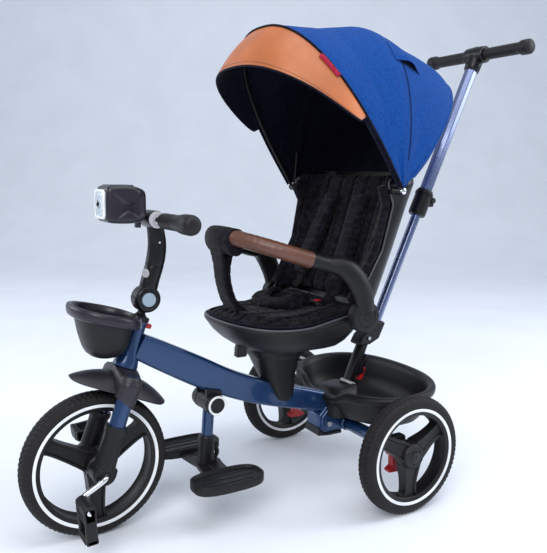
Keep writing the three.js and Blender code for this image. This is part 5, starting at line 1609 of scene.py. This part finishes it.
# ---------- push bar and brakes ----------
def build_push_bar():
    upper = []
    a = ring_angles(8) + math.pi / 8
    side = np.array([0, math.cos(BAR_LEAN), -math.sin(BAR_LEAN)])
    rings = []
    for along in (339, 341, 738, 741):
        radius = 16.2 if 340 < along < 740 else 15.4
        rings.append(along_bar(along) + np.outer(radius * np.cos(a), (1, 0, 0))
                     + np.outer(radius * np.sin(a), side))
    upper.append(loft(rings))
    piece("push_bar_upper_skin", upper, LILAC_PAINT, "push_bar_upper", "push_bar_upper_tube", sharp=20,
          bevel=3)
    y, z = along_bar(351)[1:]
    clamp = [tube([along_bar(s) for s in (321, 324, 330, 370, 383, 387)], [19, 21, 21.4, 21, 20.4, 18.5], 64),
             rounded_box(-9, 9, y + 12, y + 38, z - 8, z + 16, 4),
             tube([along_bar(s) for s in (374, 380)], 22.4, 64)]
    knob = lathe([(0, -13), (6.5, -13), (7, -12), (7, 12), (6.5, 13), (0, 13)], 32)
    clamp.append(shifted(knob, (0, y + 32, z + 8)))
    piece("push_bar_clamp_skin", clamp, BLACK_PLASTIC, "push_bar_upper", "push_bar_clamp")
    centre = along_bar(757)
    head = [lathe([(0, -30), (18, -30), (20, -28), (21, -18), (21.5, 0), (21, 18), (20, 28), (18, 30),
                   (0, 30)], 64),
            tube([along_bar(757 + s) - centre for s in (-44, -42, -30, 0)], [17, 18.6, 19.6, 20], 64),
            tube([(0, 0, 0), (0, 3, 7), (0, 6, 14), (0, 7.1, 16.6)], [17, 16.5, 15, 13], 48)]
    piece("push_handle_head_skin", [shifted(s, centre) for s in head], SATIN_PLASTIC, "push_bar_upper",
          "push_handle_head")
    towards = np.array([0, 6, 14]) / math.hypot(6, 14)
    press = tube([towards * s for s in (13, 15, 19, 20.4, 20.8)], [8, 8, 7.8, 6.6, 3], 40)
    piece("handle_button_skin", [shifted(press, centre)], TRIM_GREY, "push_button", "handle_button")
    grips = []
    for sign in (1, -1):
        stations = [(7, 30.3), (13.4, 31), (14, 32)]
        for k in range(13):
            x = 40 + 7 * k
            stations += [(14.1, x), (13.5, x + 1.2), (13.5, x + 2.4), (14.1, x + 3.6)]
        stations += [(14, 132), (15, 135), (17.2, 139.4), (17.6, 142), (17.6, 158), (17, 160.6),
                     (15.4, 162.8), (12, 164.6), (0, 165)]
        grips.append(lathe([(r, sign * x) for r, x in stations], 64))
    bar = barrel(7, 31, 32)
    piece("push_grips_skin", [shifted(s, centre) for s in (*grips, bar)], GRIP_RUBBER, "push_bar_upper",
          "push_handle_grips", sharp=30)


BRAKE_X = 197


def build_brakes():
    at = (0, REAR["y"], REAR["radius"])
    for side, word in SIDES:
        x = side * BRAKE_X
        ring = lathe([(15.4, x - 8), (21, x - 8), (22, x - 7), (22, x + 7), (21, x + 8), (15.4, x + 8)], 64,
                     closed=True)
        arm = side_cut([(-10, -14), (8, -14), (10, -36), (20, -44), (20, -50), (14, -55), (-18, -53),
                        (-20, -48), (-9, -40)], x - 8, x + 8)
        piece(f"brake_lever_{word}_skin", [shifted(s, at) for s in (ring, arm)], RED_PLASTIC, f"brake_{word}",
              f"brake_lever_{word}", bevel=1.5)
        ribs = [rounded_box(x - 8.6, x + 8.6, 13 + 0.6 * k, 24, -53 + 3.4 * k, -51.4 + 3.4 * k, 0.6)
                for k in range(3)]
        cover = [rounded_box(*sorted((x - side * 12, x + side * 12)), -24, 24, 6, 27, 6)]
        piece(f"brake_tread_{word}", [shifted(s, at) for s in ribs], RED_PLASTIC, f"brake_{word}")
        piece(f"brake_cover_{word}", [shifted(s, at) for s in cover], BLACK_PLASTIC, "frame")


build_canopy()
build_push_bar()
build_brakes()

# ---------- floor, light and camera, in metres ----------
CAMERA = dict(place=(1.2727, -0.8066, 0.7054), azimuth=58.657, elevation=8.396, roll=0.765,
              focal_pixels=689.06, frame_pixels=553)
SENSOR = 36
SKY_COLOR, SKY_STRENGTH = (0.80, 0.88, 1.0, 1), 0.52
LIGHTS = (  # name, place, target, size, watts, colour
    ("key", (2.6, -2.4, 3.0), (0, 0, 0.5), (2.2, 2.2), 95, (1.0, 0.98, 0.96)),
    ("fill", (-2.6, -2.6, 1.8), (0, 0, 0.4), (2.5, 2.0), 40, (0.92, 0.96, 1.0)),
    ("top", (0.6, 0.4, 3.4), (0, 0, 0.4), (3.0, 3.0), 60, (0.96, 0.98, 1.0)),
    ("rim", (1.4, 2.8, 2.0), (0, 0, 0.6), (1.2, 2.2), 45, (0.93, 0.96, 1.0)),
)
FLOOR_FRONT, SWEEP_START, SWEEP_RADIUS, SWEEP_TOP, SWEEP_HALF_WIDTH = -9, 3.4, 2.2, 9, 12


def floor_material():
    material, base = shader("studio_floor", 0.6)
    links = material.node_tree.links
    mottle = texture(material, "Noise", 3.0, detail=8.0)
    tone = ramp(material, mottle.outputs["Fac"], [(0.35, (0.84, 0.87, 0.93)), (0.65, (0.88, 0.91, 0.97))])
    links.new(tone.outputs["Color"], base.inputs["Base Color"])
    return material


def stage_sweep():
    """A pale floor that curves up into a backdrop behind the tricycle."""
    turn = np.linspace(0, math.pi / 2, 16)
    bend = [(SWEEP_START + SWEEP_RADIUS * math.sin(a), SWEEP_RADIUS - SWEEP_RADIUS * math.cos(a))
            for a in turn]
    profile = [(FLOOR_FRONT, 0), *bend, (SWEEP_START + SWEEP_RADIUS, SWEEP_TOP)]
    mesh = bpy.data.meshes.new("studio_sweep")
    points, faces = [], []
    for forward, height in profile:
        points += [(side * SWEEP_HALF_WIDTH, forward, height) for side in (-1, 1)]
    for k in range(len(profile) - 1):
        faces.append((2 * k, 2 * k + 1, 2 * k + 3, 2 * k + 2))
    mesh.from_pydata(points, [], faces)
    mesh.polygons.foreach_set("use_smooth", [True] * len(faces))
    sweep = bpy.data.objects.new("studio_sweep", mesh)
    sweep.rotation_euler[2] = math.radians(CAMERA["azimuth"])
    mesh.materials.append(floor_material())
    bpy.context.scene.collection.objects.link(sweep)


def area_light(name, place, target, size, power, color):
    light = bpy.data.lights.new(name, "AREA")
    light.shape, light.size, light.size_y, light.energy, light.color = "RECTANGLE", *size, power, color
    lamp = bpy.data.objects.new(name, light)
    lamp.location = place
    lamp.rotation_euler = (Vector(target) - Vector(place)).to_track_quat("-Z", "Y").to_euler()
    bpy.context.scene.collection.objects.link(lamp)


def build_studio():
    stage_sweep()
    for light in LIGHTS:
        area_light(*light)
    world = bpy.data.worlds.new("studio")
    world.use_nodes = True
    backdrop = world.node_tree.nodes["Background"]
    backdrop.inputs["Color"].default_value = SKY_COLOR
    backdrop.inputs["Strength"].default_value = SKY_STRENGTH
    bpy.context.scene.world = world
    bpy.context.scene.view_settings.view_transform = "Standard"


def build_camera():
    azimuth, elevation, roll = (math.radians(CAMERA[key]) for key in ("azimuth", "elevation", "roll"))
    forward = Vector((-math.sin(azimuth) * math.cos(elevation), math.cos(azimuth) * math.cos(elevation),
                      -math.sin(elevation)))
    right = forward.cross(Vector((0, 0, 1))).normalized()
    up = right.cross(forward)
    right, up = (math.cos(roll) * right + math.sin(roll) * up, math.cos(roll) * up - math.sin(roll) * right)
    camera = bpy.data.objects.new("camera", bpy.data.cameras.new("camera"))
    camera.data.sensor_width = SENSOR
    camera.data.lens = SENSOR * CAMERA["focal_pixels"] / CAMERA["frame_pixels"]
    turn = Matrix((right, up, -forward)).transposed()
    camera.matrix_world = Matrix.Translation(CAMERA["place"]) @ turn.to_4x4()
    bpy.context.scene.collection.objects.link(camera)
    bpy.context.scene.camera = camera


build_studio()
build_camera()
